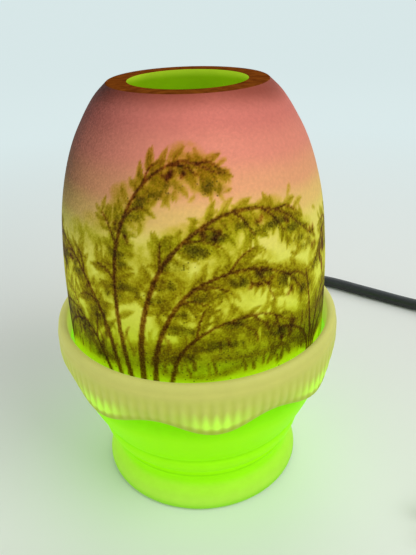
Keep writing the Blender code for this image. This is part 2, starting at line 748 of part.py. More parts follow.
def make_bulb(finishes):
    """The screw-in bulb: envelope, cap, tip contact, stem and filament."""
    outer = []
    inner = []
    for height, radius in BULB_OUTLINE_SHARES:
        outer.append((BULB_RADIUS * radius, BULB_FOOT + BULB_LENGTH * height))
        inner_length = BULB_LENGTH - BULB_WALL
        inner.append(((BULB_RADIUS - BULB_WALL) * radius, BULB_FOOT + inner_length * height))
    envelope = turned([*reversed(outer), *inner], False, 16)
    solid("bulb_envelope", [envelope], finishes["bulb_glass"])
    cap = turned(thread_outline(BULB_CAP_RADIUS, BULB_CAP_FOOT, BULB_CAP_TOP), False)
    solid("bulb_cap", [cap], finishes["brass"])
    tip_outline = (
        (BULB_TIP_RADIUS / 2, BULB_TIP_FOOT),
        (BULB_TIP_RADIUS, BULB_TIP_FOOT + BULB_TIP_HEIGHT / 2),
        (BULB_TIP_RADIUS, BULB_TIP_FOOT + BULB_TIP_HEIGHT),
    )
    solid("bulb_tip_contact", [turned(tip_outline, False, TINY_SEGMENTS)], finishes["steel"])
    stem_top = BULB_FOOT + BULB_STEM_HEIGHT
    stem_outline = (
        (BULB_STEM_RADIUS, BULB_FOOT),
        (BULB_STEM_RADIUS * 0.6, BULB_FOOT + BULB_STEM_HEIGHT / 2),
        (BULB_STEM_RADIUS * 0.6, stem_top),
    )
    solid("bulb_stem", [turned(stem_outline, False, TINY_SEGMENTS)], finishes["stem_glass"])
    make_filament(stem_top + FIT_GAP, finishes["filament"])


def make_filament(foot, finish):
    """The filament on its two lead-in wires."""
    half = FILAMENT_SPAN / 2
    top = foot + FILAMENT_RISE
    near = BULB_STEM_RADIUS * 0.35
    points = [(-near, 0, foot), (-half, 0, top)]
    folds = 6
    for fold in range(1, folds):
        sway = FILAMENT_RADIUS * 2 * (1 if fold % 2 else -1)
        points.append((-half + FILAMENT_SPAN * fold / folds, sway, top + FILAMENT_RADIUS * 2))
    points += [(half, 0, top), (near, 0, foot)]
    return tube("bulb_filament", points, FILAMENT_RADIUS, finish, 0)


def make_boot(finish):
    """The rubber boot in the foot's back: barrel, flange cut to the glass, and tapered sleeve."""
    inner_end = stop_seat()
    segments = 24
    rings = []
    for radius in (BOOT_BORE_RADIUS, BOOT_BARREL_RADIUS):
        rings.append([(radius, inner_end)] * segments)
    for share in (0, 0.5, 1):
        radius = BOOT_BARREL_RADIUS + (BOOT_FLANGE_RADIUS - BOOT_BARREL_RADIUS) * share
        ring = []
        for index in range(segments):
            angle = 2 * math.pi * index / segments
            across = radius * math.cos(angle)
            height = EXIT_HEIGHT + radius * math.sin(angle)
            reach = math.sqrt(foot_radius_at(height) ** 2 - across**2)
            ring.append((radius, reach + 2 * FIT_GAP))
        rings.append(ring)
    tip_radius = BOOT_BORE_RADIUS + BOOT_TIP_WALL
    root_radius = BOOT_BARREL_RADIUS + BOOT_WALL / 2
    grooves = 3
    outline = [(BOOT_FLANGE_RADIUS, BOOT_FLANGE_FRONT), (root_radius, BOOT_FLANGE_FRONT)]
    for groove in range(1, grooves + 1):
        share = groove / (grooves + 1)
        radius = root_radius + (tip_radius - root_radius) * share
        outline.append((radius, BOOT_FLANGE_FRONT + BOOT_LENGTH * share))
    outline += [(tip_radius, BOOT_TIP), (BOOT_BORE_RADIUS, BOOT_TIP)]
    rings += [[pair] * segments for pair in outline]
    points = []
    for ring in rings:
        placed = []
        for index, (radius, along) in enumerate(ring):
            angle = 2 * math.pi * index / segments
            height = EXIT_HEIGHT + radius * math.sin(angle)
            placed.append(Vector((radius * math.cos(angle), along, height)))
        points.append(placed)
    return solid("cord_boot", [(points, True)], finish)


def foot_inside_radius(height):
    """The radius of the hollow under the floor at a height."""
    share = (height - RIM_BOTTOM) / (FLOOR_UNDERSIDE - RIM_BOTTOM)
    walls = zip(FOOT_INSIDE_SHARES, FOOT_INSIDE_SHARES[1:])
    for (high, high_radius), (low, low_radius) in walls:
        if low <= share <= high:
            blend = (share - low) / (high - low)
            return FOOT_RADIUS * (low_radius + (high_radius - low_radius) * blend)
    return FOOT_RADIUS * FOOT_INSIDE_SHARES[0 if share > 1 else -1][1]


def stop_seat():
    """How far back the cord's stop can reach inside the foot, clear of the wall all round."""
    reaches = []
    for index in range(SMALL_SEGMENTS):
        angle = 2 * math.pi * index / SMALL_SEGMENTS
        across = STOP_RADIUS * math.cos(angle)
        wall = foot_inside_radius(EXIT_HEIGHT + STOP_RADIUS * math.sin(angle))
        reaches.append(math.sqrt(wall**2 - across**2))
    return min(reaches) - STOP_SETBACK


def make_cord_stop(finish):
    """The ring on the cord inside the foot that keeps it from being pulled out."""
    high = stop_seat() - FIT_GAP
    low = high - STOP_THICKNESS
    outline = (
        (BOOT_BORE_RADIUS, low),
        (STOP_RADIUS, low),
        (STOP_RADIUS, high),
        (BOOT_BORE_RADIUS, high),
    )
    middle = (0, 0, EXIT_HEIGHT)
    return solid("cord_stop", [turned(outline, True, SMALL_SEGMENTS, BACKWARD_AXIS, middle)], finish)


def make_cord_tail(finish):
    """The cord's last stretch, from the boot's tip to where its wires part."""
    places = [(0, TAIL_START, EXIT_HEIGHT), (0, BOOT_TIP, EXIT_HEIGHT)]
    return tube("cord_tail", places, CORD_RADIUS, finish, 2)


def switch_frame():
    """An empty on the table where the cord meets the switch, turned along the cord."""
    frame = bpy.data.objects.new("switch_frame", None)
    bpy.context.scene.collection.objects.link(frame)
    frame.location = (*SWITCH_START, 0)
    frame.rotation_euler = (0, 0, SWITCH_HEADING)
    bpy.context.view_layer.update()
    return frame


def switch_plan(inset, height):
    """The switch housing's outline at a height, drawn in by an inset."""
    half_length = SWITCH_LENGTH / 2 - inset
    half_width = SWITCH_WIDTH / 2 - inset
    quarter = SWITCH_PLAN_SHARES
    corners = [(x, y) for x, y in quarter]
    corners += [(-x, y) for x, y in reversed(quarter)]
    corners += [(-x, -y) for x, y in quarter]
    corners += [(x, -y) for x, y in reversed(quarter)]
    middle = SWITCH_LENGTH / 2
    return [Vector((middle + half_length * x, half_width * y, height)) for x, y in corners]


def make_switch_housings(finish, frame):
    """The two halves of the switch housing, hollow in the middle."""
    half_pocket = POCKET_LENGTH / 2
    half_inside = SWITCH_WIDTH / 2 - SWITCH_WALL
    middle = SWITCH_LENGTH / 2
    low = FLOOR_CLEARANCE
    seam = low + SWITCH_LOWER_HEIGHT
    lower_rings = [
        switch_plan(SWITCH_EDGE, low),
        switch_plan(0, low + SWITCH_EDGE),
        switch_plan(0, seam),
    ]
    lower = solid("switch_lower_housing", [(lower_rings, False)], finish, frame)
    pocket_low = (middle - half_pocket, -half_inside, low + SWITCH_WALL)
    pocket_high = (middle + half_pocket, half_inside, seam + CUT_OVERRUN)
    cuts = [block(pocket_low, pocket_high)]
    shank = SWITCH_SCREW_RADIUS + FIT_GAP
    head = SWITCH_SCREW_HEAD_RADIUS + FIT_GAP
    shoulder = low + SWITCH_SCREW_HEAD_HEIGHT + 2 * FIT_GAP
    screw_hole = ((head, low - CUT_OVERRUN), (head, shoulder), (shank, shoulder), (shank, seam + CUT_OVERRUN))
    upper_cuts = []
    upper_low = seam + FIT_GAP
    for side in (1, -1):
        place = (middle + side * SWITCH_SCREW_OFFSET, 0, 0)
        cuts.append(turned(screw_hole, False, TINY_SEGMENTS, PLAIN_AXIS, place))
        depth = low + SWITCH_SCREW_LENGTH + 2 * FIT_GAP
        upper_cuts.append(rod(shank, upper_low - CUT_OVERRUN, depth, TINY_SEGMENTS, PLAIN_AXIS, place))
    cut(lower, cuts)
    upper_rings = [
        switch_plan(0, upper_low),
        switch_plan(0, SWITCH_TOP - SWITCH_EDGE),
        switch_plan(SWITCH_EDGE, SWITCH_TOP),
    ]
    upper = solid("switch_upper_housing", [(upper_rings, False)], finish, frame)
    half_window = rocker_reach() + ROCKER_WINDOW_PLAY
    half_across = ROCKER_WIDTH / 2 + ROCKER_WINDOW_PLAY
    low_corner = (middle - half_pocket, -half_across, upper_low - CUT_OVERRUN)
    high_corner = (middle + half_pocket, half_across, PIVOT_HEIGHT - ROCKER_SKIRT)
    upper_cuts.append(block(low_corner, high_corner))
    cut(upper, upper_cuts)
    window_low = (middle - half_window, -half_across, PIVOT_HEIGHT - ROCKER_DEPTH)
    window_high = (middle + half_window, half_across, SWITCH_TOP + CUT_OVERRUN)
    cut(upper, [block(window_low, window_high)])
    reach = half_across + PIN_SEAT + FIT_GAP
    place = (middle, 0, PIVOT_HEIGHT)
    cut(upper, [rod(PIN_RADIUS + FIT_GAP, -reach, reach, TINY_SEGMENTS, BACKWARD_AXIS, place)])


def rocker_reach():
    """How far the rocker's ends reach from its pin at either tilt."""
    half = ROCKER_LENGTH / 2
    return math.hypot(half, ROCKER_END_RISE)


def make_rocker(finish, frame):
    """The rocker, tipped to its off side, turning on its pin."""
    pivot = bpy.data.objects.new("rocker_pivot", None)
    bpy.context.scene.collection.objects.link(pivot)
    pivot.parent = frame
    pivot.location = (SWITCH_LENGTH / 2, 0, PIVOT_HEIGHT)
    pivot.rotation_euler = (0, -ROCKER_TILT, 0)
    half = ROCKER_LENGTH / 2
    outline = (
        (half, -ROCKER_SKIRT),
        (half, ROCKER_END_RISE),
        (0, ROCKER_MIDDLE_RISE),
        (-half, ROCKER_END_RISE),
        (-half, -ROCKER_SKIRT),
        (-half / 2, -ROCKER_DEPTH),
        (half / 2, -ROCKER_DEPTH),
    )
    rings = []
    for across in (-ROCKER_WIDTH / 2, ROCKER_WIDTH / 2):
        rings.append([Vector((along, across, height)) for along, height in outline])
    rocker = solid("switch_rocker", [(rings, False)], finish, pivot)
    reach = ROCKER_WIDTH / 2 + CUT_OVERRUN
    cut(rocker, [rod(PIN_RADIUS + FIT_GAP, -reach, reach, TINY_SEGMENTS, BACKWARD_AXIS)])


def make_switch_inside(finishes, frame):
    """The rocker's pin, the two contact strips and the housing's screws."""
    middle = SWITCH_LENGTH / 2
    reach = ROCKER_WIDTH / 2 + ROCKER_WINDOW_PLAY + PIN_SEAT
    pin = rod(PIN_RADIUS, -reach, reach, TINY_SEGMENTS, BACKWARD_AXIS, (middle, 0, PIVOT_HEIGHT))
    solid("switch_pin", [pin], finishes["steel"], frame)
    strip_foot = FLOOR_CLEARANCE + SWITCH_WALL + FIT_GAP
    strips = (("switch_strip_in", -1), ("switch_strip_out", 1))
    for name, side in strips:
        outer = middle + side * (POCKET_LENGTH / 2 - FIT_GAP)
        inner = outer - side * STRIP_LENGTH
        low = (min(inner, outer), -STRIP_WIDTH / 2, strip_foot)
        high = (max(inner, outer), STRIP_WIDTH / 2, strip_foot + STRIP_THICKNESS)
        solid(name, [block(low, high)], finishes["brass"], frame)
    low = FLOOR_CLEARANCE + FIT_GAP
    head_top = low + SWITCH_SCREW_HEAD_HEIGHT
    outline = (
        (SWITCH_SCREW_HEAD_RADIUS, low),
        (SWITCH_SCREW_HEAD_RADIUS, head_top),
        (SWITCH_SCREW_RADIUS, head_top),
        (SWITCH_SCREW_RADIUS, low + SWITCH_SCREW_LENGTH),
    )
    for name, side in (("switch_screw_in", -1), ("switch_screw_out", 1)):
        place = (middle + side * SWITCH_SCREW_OFFSET, 0, 0)
        screw = turned(outline, False, TINY_SEGMENTS, PLAIN_AXIS, place)
        solid(name, [screw], finishes["steel"], frame)


def coil_points():
    """The coil's path: in along the lower layer, up in a half turn, and out along the upper."""
    step_count = round((COIL_TURNS_IN + 0.5 + COIL_TURNS_OUT) * COIL_POINTS_PER_TURN)
    centre = Vector((*COIL_CENTRE, 0))
    inmost = COIL_RADIUS - COIL_STEP * COIL_TURNS_IN
    points = [centre + Vector((COIL_RADIUS, CORD_DIAMETER, COIL_LOW))]
    for step in range(step_count + 1):
        turns = step / COIL_POINTS_PER_TURN
        after_in = turns - COIL_TURNS_IN
        climb = min(max(after_in / 0.5, 0), 1)
        height = COIL_LOW + COIL_STEP * climb * climb * (3 - 2 * climb)
        if after_in <= 0:
            radius = COIL_RADIUS - COIL_STEP * turns
        elif climb < 1:
            radius = inmost - COIL_STEP * climb * (1 - climb) / 2
        else:
            radius = inmost + COIL_STEP * (after_in - 0.5)
        angle = -2 * math.pi * turns
        points.append(centre + Vector((radius * math.cos(angle), radius * math.sin(angle), height)))
    tail = Vector((-CORD_DIAMETER, 0, 0))
    points.append(points[-1] + tail)
    return points


def least_gap(points, diameter):
    """The smallest gap between a tube's turns, away from its neighbouring points."""
    apart = COIL_POINTS_PER_TURN // 2
    least = None
    for index, point in enumerate(points):
        for other, next_point in zip(points[index + apart :], points[index + apart + 1 :]):
            leg = next_point - other
            share = min(max((point - other).dot(leg) / leg.length_squared, 0), 1)
            gap = (point - other - leg * share).length - diameter
            least = gap if least is None else min(least, gap)
    return least


def make_coil(finishes):
    """The coiled length of the cord and the tie round it."""
    points = coil_points()
    tube("cord_coil", points, CORD_RADIUS, finishes["cord_black"], 1)
    print("coil: least gap", round(least_gap(points, CORD_DIAMETER), 5), "m")
    centre = Vector((*COIL_CENTRE, 0))
    outward = Vector((math.cos(TIE_AZIMUTH), math.sin(TIE_AZIMUTH), 0))
    sideways = Vector((-outward.y, outward.x, 0))
    reaches = []
    for point in points:
        away = point - centre
        if abs(away.dot(sideways)) < TIE_WIDTH + CORD_DIAMETER and away.dot(outward) > 0:
            reaches.append(Vector((away.x, away.y, 0)).length)
    inner = min(reaches) - CORD_RADIUS - CORD_RADIUS / 2
    outer = max(reaches) + CORD_RADIUS + FIT_GAP
    low = COIL_LOW - CORD_RADIUS - FIT_GAP
    high = COIL_LOW + COIL_STEP + CORD_RADIUS + FIT_GAP
    rings = []
    for side, thickness in ((-1, TIE_THICKNESS), (1, TIE_THICKNESS), (1, 0), (-1, 0)):
        shift = sideways * (side * TIE_WIDTH / 2)
        corners = (
            (inner - thickness, low - thickness),
            (outer + thickness, low - thickness),
            (outer + thickness, high + thickness),
            (inner - thickness, high + thickness),
        )
        rings.append([centre + outward * reach + shift + Vector((0, 0, level)) for reach, level in corners])
    solid("coil_tie", [(rings, True)], finishes["tie"])
    return points


def make_plug(start, finishes):
    """The moulded plug with its tapered neck, lying on the table, and its two blades."""
    frame = bpy.data.objects.new("plug_frame", None)
    bpy.context.scene.collection.objects.link(frame)
    frame.location = (start.x, start.y, PLUG_AXIS_HEIGHT)
    frame.rotation_euler = (0, 0, math.pi)
    bpy.context.view_layer.update()
    rings = []
    sections = [(PLUG_NECK_LENGTH * along, wide, thick) for along, wide, thick in PLUG_NECK_SHARES]
    sections += [
        (PLUG_NECK_LENGTH + PLUG_BODY_LENGTH * along, wide, thick)
        for along, wide, thick in PLUG_BODY_SHARES
    ]
    segments = 16
    for along, wide, thick in sections:
        ring = []
        for index in range(segments):
            angle = 2 * math.pi * index / segments
            squareness = 0.62
            across = math.copysign(abs(math.cos(angle)) ** squareness, math.cos(angle))
            upward = math.copysign(abs(math.sin(angle)) ** squareness, math.sin(angle))
            place = (along, across * wide * PLUG_WIDTH / 2, upward * thick * PLUG_THICKNESS / 2)
            ring.append(Vector(place))
        rings.append(ring)
    solid("plug_body", [(rings, False)], finishes["plug_plastic"], frame)
    face = PLUG_NECK_LENGTH + PLUG_BODY_LENGTH + FIT_GAP
    for name, side in (("plug_blade_left", -1), ("plug_blade_right", 1)):
        middle = side * BLADE_SPACING / 2
        low = (face, middle - BLADE_THICKNESS / 2, -BLADE_HEIGHT / 2)
        high = (face + BLADE_LENGTH, middle + BLADE_THICKNESS / 2, BLADE_HEIGHT / 2)
        solid(name, [block(low, high)], finishes["brass"], frame)


def make_cord(finishes):
    """The cord on the table: to the switch, to the coil, and to the plug."""
    finish = finishes["cord_black"]
    along = Matrix.Rotation(SWITCH_HEADING, 3, "Z") @ Vector((1, 0, 0))
    start = Vector((0, BOOT_TIP + FIT_GAP, EXIT_HEIGHT))
    switch_in = Vector((*SWITCH_START, SWITCH_AXIS_HEIGHT))
    switch_out = switch_in + along * SWITCH_LENGTH
    run = cord_points(
        [
            start,
            start + Vector((0, CORD_DIAMETER, 0)),
            *CORD_ROUTE,
            switch_in - along * (FIT_GAP + CORD_DIAMETER),
            switch_in - along * FIT_GAP,
        ]
    )
    tube("cord_run", run, CORD_RADIUS, finish, 2)
    coil = make_coil(finishes)
    into_coil = coil[0] + Vector((0, FIT_GAP, 0))
    run_2 = cord_points(
        [
            switch_out + along * FIT_GAP,
            switch_out + along * (FIT_GAP + CORD_DIAMETER),
            *CORD_ROUTE_2,
            into_coil + Vector((0, CORD_DIAMETER, 0)),
            into_coil,
        ]
    )
    tube("cord_run_2", run_2, CORD_RADIUS, finish, 2)
    lead_start = coil[-1] - Vector((FIT_GAP, 0, 0))
    lead_end = lead_start - Vector((PLUG_LEAD, 0, lead_start.z - PLUG_AXIS_HEIGHT))
    straight = Vector((CORD_DIAMETER, 0, 0))
    lead = cord_points([lead_start, lead_start - straight, lead_end + straight, lead_end])
    tube("cord_plug_lead", lead, CORD_RADIUS, finish, 2)
    make_plug(lead_end - Vector((FIT_GAP, 0, 0)), finishes)
    total = length_of(run) + SWITCH_LENGTH + length_of(run_2) + length_of(coil) + length_of(lead)
    print("cord: boot to plug", round(total, 3), "m")


def main():
    """Build the whole lamp."""
    clear_scene()
    finishes = make_finishes()
    make_shade(finishes["shade_glass"])
    make_base_glass(finishes["base_glass"])
    make_felt_ring(finishes["felt"])
    make_stem_parts(finishes)
    make_socket_cup(finishes["brass"])
    make_socket_body(finishes["socket_phenolic"])
    make_screw_shell(finishes["brass"])
    make_centre_contact(finishes["brass"])
    make_terminal_screws(finishes["brass"])
    make_wire("wire_line", 1, finishes["wire_black"])
    make_wire("wire_neutral", -1, finishes["wire_white"])
    make_bulb(finishes)
    make_boot(finishes["boot_rubber"])
    make_cord_stop(finishes["switch_plastic"])
    make_cord_tail(finishes["cord_black"])
    frame = switch_frame()
    make_switch_housings(finishes["switch_plastic"], frame)
    make_rocker(finishes["rocker_plastic"], frame)
    make_switch_inside(finishes, frame)
    make_cord(finishes)


main()
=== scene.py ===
"""Looks of the electric fairy lamp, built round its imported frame.

Metres, +Z up. The origin is the middle of the lamp's underside, and -Y is its front.
"""

import math

import bmesh
import bpy
import numpy as np
from mathutils import Matrix, Vector


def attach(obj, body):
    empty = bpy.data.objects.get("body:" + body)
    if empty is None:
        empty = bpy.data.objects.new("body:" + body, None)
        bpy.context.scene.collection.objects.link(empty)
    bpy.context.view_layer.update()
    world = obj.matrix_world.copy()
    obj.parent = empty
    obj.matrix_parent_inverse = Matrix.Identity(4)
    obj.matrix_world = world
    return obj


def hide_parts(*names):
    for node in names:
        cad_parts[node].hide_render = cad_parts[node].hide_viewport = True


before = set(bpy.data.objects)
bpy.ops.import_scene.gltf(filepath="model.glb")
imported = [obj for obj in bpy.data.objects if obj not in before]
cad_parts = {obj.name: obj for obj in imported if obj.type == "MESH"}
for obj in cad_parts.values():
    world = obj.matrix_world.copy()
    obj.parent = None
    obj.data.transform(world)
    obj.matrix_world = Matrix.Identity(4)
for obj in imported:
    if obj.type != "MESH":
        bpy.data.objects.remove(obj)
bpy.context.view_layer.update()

MM = 0.001
FULL_TURN = 2 * math.pi


# Small helpers


def lin(red, green, blue):
    """A colour written on the 0 to 255 screen scale, as the linear one that a shader takes."""
    out = []
    for value in (red, green, blue):
        share = value / 255
        out.append(share / 12.92 if share <= 0.04045 else ((share + 0.055) / 1.055) ** 2.4)
    return tuple(out)


class Finish:
    """A node material and short ways to add to it."""

    def __init__(self, name, roughness=0.5, metallic=0.0, specular=0.5):
        self.material = bpy.data.materials.new(name)
        self.material.use_nodes = True
        self.tree = self.material.node_tree
        self.shader = self.tree.nodes["Principled BSDF"]
        self.shader.inputs["Roughness"].default_value = roughness
        self.shader.inputs["Metallic"].default_value = metallic
        self.shader.inputs["Specular IOR Level"].default_value = specular
        self.where = self.node("ShaderNodeTexCoord").outputs["Object"]

    def feed(self, socket, value):
        """Join a socket to another, or set it."""
        if isinstance(value, bpy.types.NodeSocket):
            self.tree.links.new(value, socket)
        else:
            socket.default_value = value

    def node(self, kind, inputs=(), **settings):
        """A new node with its settings and inputs."""
        made = self.tree.nodes.new(kind)
        for key, value in settings.items():
            setattr(made, key, value)
        for key, value in dict(inputs).items():
            self.feed(made.inputs[key], value)
        return made

    def set(self, **values):
        """Set or join the shader's sockets; an underscore stands for a space."""
        for key, value in values.items():
            self.feed(self.shader.inputs[key.replace("_", " ")], value)
        return self

    def noise(self, scale, detail=2.0, where=None, stretch=None, distortion=0.0):
        """Smooth noise from 0 to 1, stretched along the axes if asked."""
        place = where or self.where
        if stretch:
            place = self.node("ShaderNodeMapping", {"Vector": place, "Scale": stretch}).outputs[0]
        inputs = {"Vector": place, "Scale": scale, "Detail": detail, "Distortion": distortion}
        return self.node("ShaderNodeTexNoise", inputs).outputs["Fac"]

    def maths(self, operation, one, other=0.0):
        """A sum on one or two values."""
        return self.node("ShaderNodeMath", {0: one, 1: other}, operation=operation).outputs[0]

    def span(self, value, low, high, to_low=0.0, to_high=1.0):
        """A value's place between two ends, clamped."""
        ends = {"From Min": low, "From Max": high, "To Min": to_low, "To Max": to_high}
        return self.node("ShaderNodeMapRange", {"Value": value, **ends}).outputs[0]

    def ramp(self, value, stops, mode="EASE"):
        """A colour ramp from stops of a share and a screen colour."""
        made = self.node("ShaderNodeValToRGB", {"Fac": value})
        band = made.color_ramp
        band.interpolation = mode
        while len(band.elements) < len(stops):
            band.elements.new(1.0)
        for element, (share, colour) in zip(band.elements, stops):
            element.position = share
            element.color = (*lin(*colour), 1.0)
        return made.outputs["Color"]

    def tones(self, value, low, high):
        """A ramp between two screen colours, over the middle of a noise."""
        return self.ramp(value, ((0.3, low), (0.7, high)))

    def vary(self, value, low, high):
        """A number between two ends, over the middle of a noise."""
        return self.span(value, 0.3, 0.7, low, high)

    def drift(self, value, scale, detail, depth):
        """A value moved up and down by noise."""
        away = self.maths("SUBTRACT", self.noise(scale, detail), 0.5)
        return self.maths("ADD", value, self.maths("MULTIPLY", away, depth))

    def wave(self, scale, direction, distortion=0.0):
        """Even bands across a direction, from 0 to 1."""
        inputs = {"Vector": self.where, "Scale": scale, "Distortion": distortion}
        return self.node("ShaderNodeTexWave", inputs, bands_direction=direction).outputs["Fac"]

    def mix(self, share, one, other, blend="MIX"):
        """Two colours mixed; either may be a plain colour."""
        made = self.node("ShaderNodeMix", data_type="RGBA", blend_type=blend)
        sockets = [s for s in made.inputs if s.enabled]
        for socket, value in zip(sockets, (share, one, other)):
            if isinstance(value, tuple) and len(value) == 3:
                value = (*value, 1.0)
            self.feed(socket, value)
        return [s for s in made.outputs if s.enabled][0]

    def shade_by(self, colour, value, low, high):
        """A colour made darker and lighter by a value, between two brightnesses."""
        return self.times(colour, self.span(value, 0.25, 0.75, low, high))

    def times(self, colour, level):
        """A colour times a number."""
        grey = (level,) * 3
        if isinstance(level, bpy.types.NodeSocket):
            grey = self.node("ShaderNodeCombineColor", dict(enumerate(grey))).outputs[0]
        return self.mix(1.0, colour, grey, "MULTIPLY")

    def lit(self, tone, dim, level, extra=None):
        """Give glass its tone, dimmed, and a glow of the tone itself, times a factor if given."""
        self.set(Base_Color=self.times(tone, dim), Emission_Strength=level)
        return self.set(Emission_Color=self.times(tone, extra) if extra else tone)

    def height(self):
        """The Z of the object's own coordinates."""
        return self.node("ShaderNodeSeparateXYZ", {0: self.where}).outputs["Z"]

    def attribute(self, name, output="Color"):
        """A value painted on the mesh."""
        return self.node("ShaderNodeAttribute", attribute_name=name).outputs[output]

    def bump(self, height, depth, strength=1.0):
        """Raise the surface by a height from 0 to 1, times a depth in metres."""
        inputs = {"Height": height, "Strength": strength, "Distance": depth}
        return self.set(Normal=self.node("ShaderNodeBump", inputs).outputs[0])

    def grain(self, scale, detail, depth, strength):
        """Raise the surface by fine noise, to a depth in mm."""
        return self.bump(self.noise(scale, detail), depth * MM, strength)


def unit(value):
    """A value held between 0 and 1."""
    return np.clip(value, 0, 1)


def ease(value):
    """A share from 0 to 1 with soft ends."""
    return value * value * (3 - 2 * value)


def bearings(count):
    """Even angles round a full turn."""
    return FULL_TURN * np.arange(count) / count


def add_object(name, data):
    """A new object in the scene."""
    made = bpy.data.objects.new(name, data)
    bpy.context.scene.collection.objects.link(made)
    return made


def mesh_object(name, mesh, *finishes):
    """A mesh in the scene with its materials."""
    for finish in finishes:
        mesh.materials.append(finish.material)
    return add_object(name, mesh)


def place(made, body, slot, *nodes):
    """Ride a piece on its body, hiding the CAD nodes that it stands for; its slot is not used."""
    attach(made, body)
    if nodes:
        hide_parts(*nodes)
    return made


def catmull(points, steps=12):
    """A fine smooth curve through all the points, as an array."""
    line = np.array(points, float)
    line = np.vstack([2 * line[0] - line[1], line, 2 * line[-1] - line[-2]])
    t = (np.arange(steps) / steps)[:, None]
    out = []
    for before, start, end, after in zip(line, line[1:], line[2:], line[3:]):
        leave, arrive = (end - before) / 2, (after - start) / 2
        out.append(
            start * (2 * t**3 - 3 * t**2 + 1)
            + leave * (t**3 - 2 * t**2 + t)
            + end * (3 * t**2 - 2 * t**3)
            + arrive * (t**3 - t**2)
        )
    return np.vstack([*out, line[-2]])


def evenly(points, count):
    """The same line with this many points, evenly spaced."""
    line = np.array(points, float)
    along = np.concatenate([[0], np.cumsum(np.linalg.norm(np.diff(line, axis=0), axis=1))])
    stops = np.linspace(0, along[-1], count)
    return np.stack([np.interp(stops, along, line[:, k]) for k in range(line.shape[1])], 1)


# Camera, floor and light

CAMERA_PLACE = (0.0, -0.2093, 0.19765)
CAMERA_PITCH, CAMERA_ROLL, CAMERA_YAW = 0.4882, -0.0308, 0.0234
CAMERA_LENS = 37.469


def make_camera():
    """The camera at the photograph's angle."""
    level = math.cos(CAMERA_PITCH)
    forward = Vector(
        (math.sin(CAMERA_YAW) * level, math.cos(CAMERA_YAW) * level, -math.sin(CAMERA_PITCH))
    )
    right = Vector((math.cos(CAMERA_YAW), -math.sin(CAMERA_YAW), 0))
    up = right.cross(forward)
    turned_right = right * math.cos(CAMERA_ROLL) + up * math.sin(CAMERA_ROLL)
    turned_up = up * math.cos(CAMERA_ROLL) - right * math.sin(CAMERA_ROLL)
    data = bpy.data.cameras.new("camera")
    data.lens, data.clip_start, data.clip_end = CAMERA_LENS, 0.01, 50
    camera = add_object("camera", data)
    turn = Matrix((turned_right, turned_up, -forward)).transposed().to_4x4()
    camera.matrix_world = Matrix.Translation(CAMERA_PLACE) @ turn
    bpy.context.scene.camera = camera


BACKDROP, FLOOR_TONE = lin(219, 235, 236), lin(236, 240, 234)
FADE_START, FADE_END = 0.16, 0.62  # where the floor starts and ends to turn into the backdrop
FLOOR_HALF, FLOOR_LEVEL = 6, -0.1 * MM
AMBIENT = 0.42
LIGHT_AIM = Vector((0, 0, 0.08))
# Each lamp's place, size, power and colour
STUDIO_LIGHTS = {
    "key": ((0.46, -0.34, 0.60), 0.5, 3.0, (1, 1, 1)),
    "fill": ((-0.6, -0.35, 0.35), 0.6, 0.75, (0.94, 0.98, 1.0)),
    "back": ((0.1, 0.7, 0.6), 0.6, 1.6, (1, 1, 1)),
}


def make_lights():
    """Soft square lamps that face the object."""
    for name, (spot, size, power, colour) in STUDIO_LIGHTS.items():
        data = bpy.data.lights.new(name, "AREA")
        data.size, data.energy, data.color = size, power, colour
        made = add_object(name, data)
        made.location = spot
        made.rotation_euler = (LIGHT_AIM - Vector(spot)).to_track_quat("-Z", "Y").to_euler()


def seen_directly(tree):
    """One for rays that show a background: camera, glossy and see-through ones."""
    path = tree.nodes.new("ShaderNodeLightPath")
    value = path.outputs["Is Camera Ray"]
    for name in ("Is Glossy Ray", "Is Transmission Ray"):
        either = tree.nodes.new("ShaderNodeMath")
        either.operation = "MAXIMUM"
        tree.links.new(value, either.inputs[0])
        tree.links.new(path.outputs[name], either.inputs[1])
        value = either.outputs[0]
    return value


def blend_into(tree, output, *sources):
    """Give an output a share between two shaders: the sources are share, first and second."""
    blend = tree.nodes.new("ShaderNodeMixShader")
    for source, socket in zip(sources, blend.inputs):
        tree.links.new(source, socket)
    tree.links.new(blend.outputs[0], tree.nodes[output].inputs["Surface"])


def make_world():
    """Even white light, seen as the pale backdrop."""
    world = bpy.data.worlds.new("studio")
    world.use_nodes = True
    tree = world.node_tree
    back = tree.nodes["Background"]
    back.inputs["Color"].default_value = (1, 1, 1, 1)
    back.inputs["Strength"].default_value = AMBIENT
    seen = tree.nodes.new("ShaderNodeBackground")
    seen.inputs["Color"].default_value = (*BACKDROP, 1)
    seen.inputs["Strength"].default_value = 1.0
    blend_into(tree, "World Output", seen_directly(tree), back.outputs[0], seen.outputs[0])
    bpy.context.scene.world = world
    bpy.context.scene.view_settings.view_transform = "Standard"


def make_floor():
    """A plain pale floor that fades into the backdrop."""
    finish = Finish("floor", 0.55, specular=0.25)
    finish.set(Base_Color=(*FLOOR_TONE, 1))
    away = finish.node("ShaderNodeVectorMath", {0: finish.where}, operation="LENGTH")
    far = finish.span(away.outputs["Value"], FADE_START, FADE_END)
    far = finish.maths("SMOOTH_MIN", far, 1.0)
    far = finish.maths("MULTIPLY", far, seen_directly(finish.tree))
    pale = finish.node("ShaderNodeEmission", {"Color": (*BACKDROP, 1), "Strength": 1.0})
    blend_into(finish.tree, "Material Output", far, finish.shader.outputs[0], pale.outputs[0])
    form = bmesh.new()
    bmesh.ops.create_grid(form, x_segments=1, y_segments=1, size=FLOOR_HALF)
    mesh = bpy.data.meshes.new("floor")
    form.to_mesh(mesh)
    form.free()
    floor = mesh_object("floor", mesh, finish)
    floor.location.z = FLOOR_LEVEL


# Cords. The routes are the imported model's own, in metres

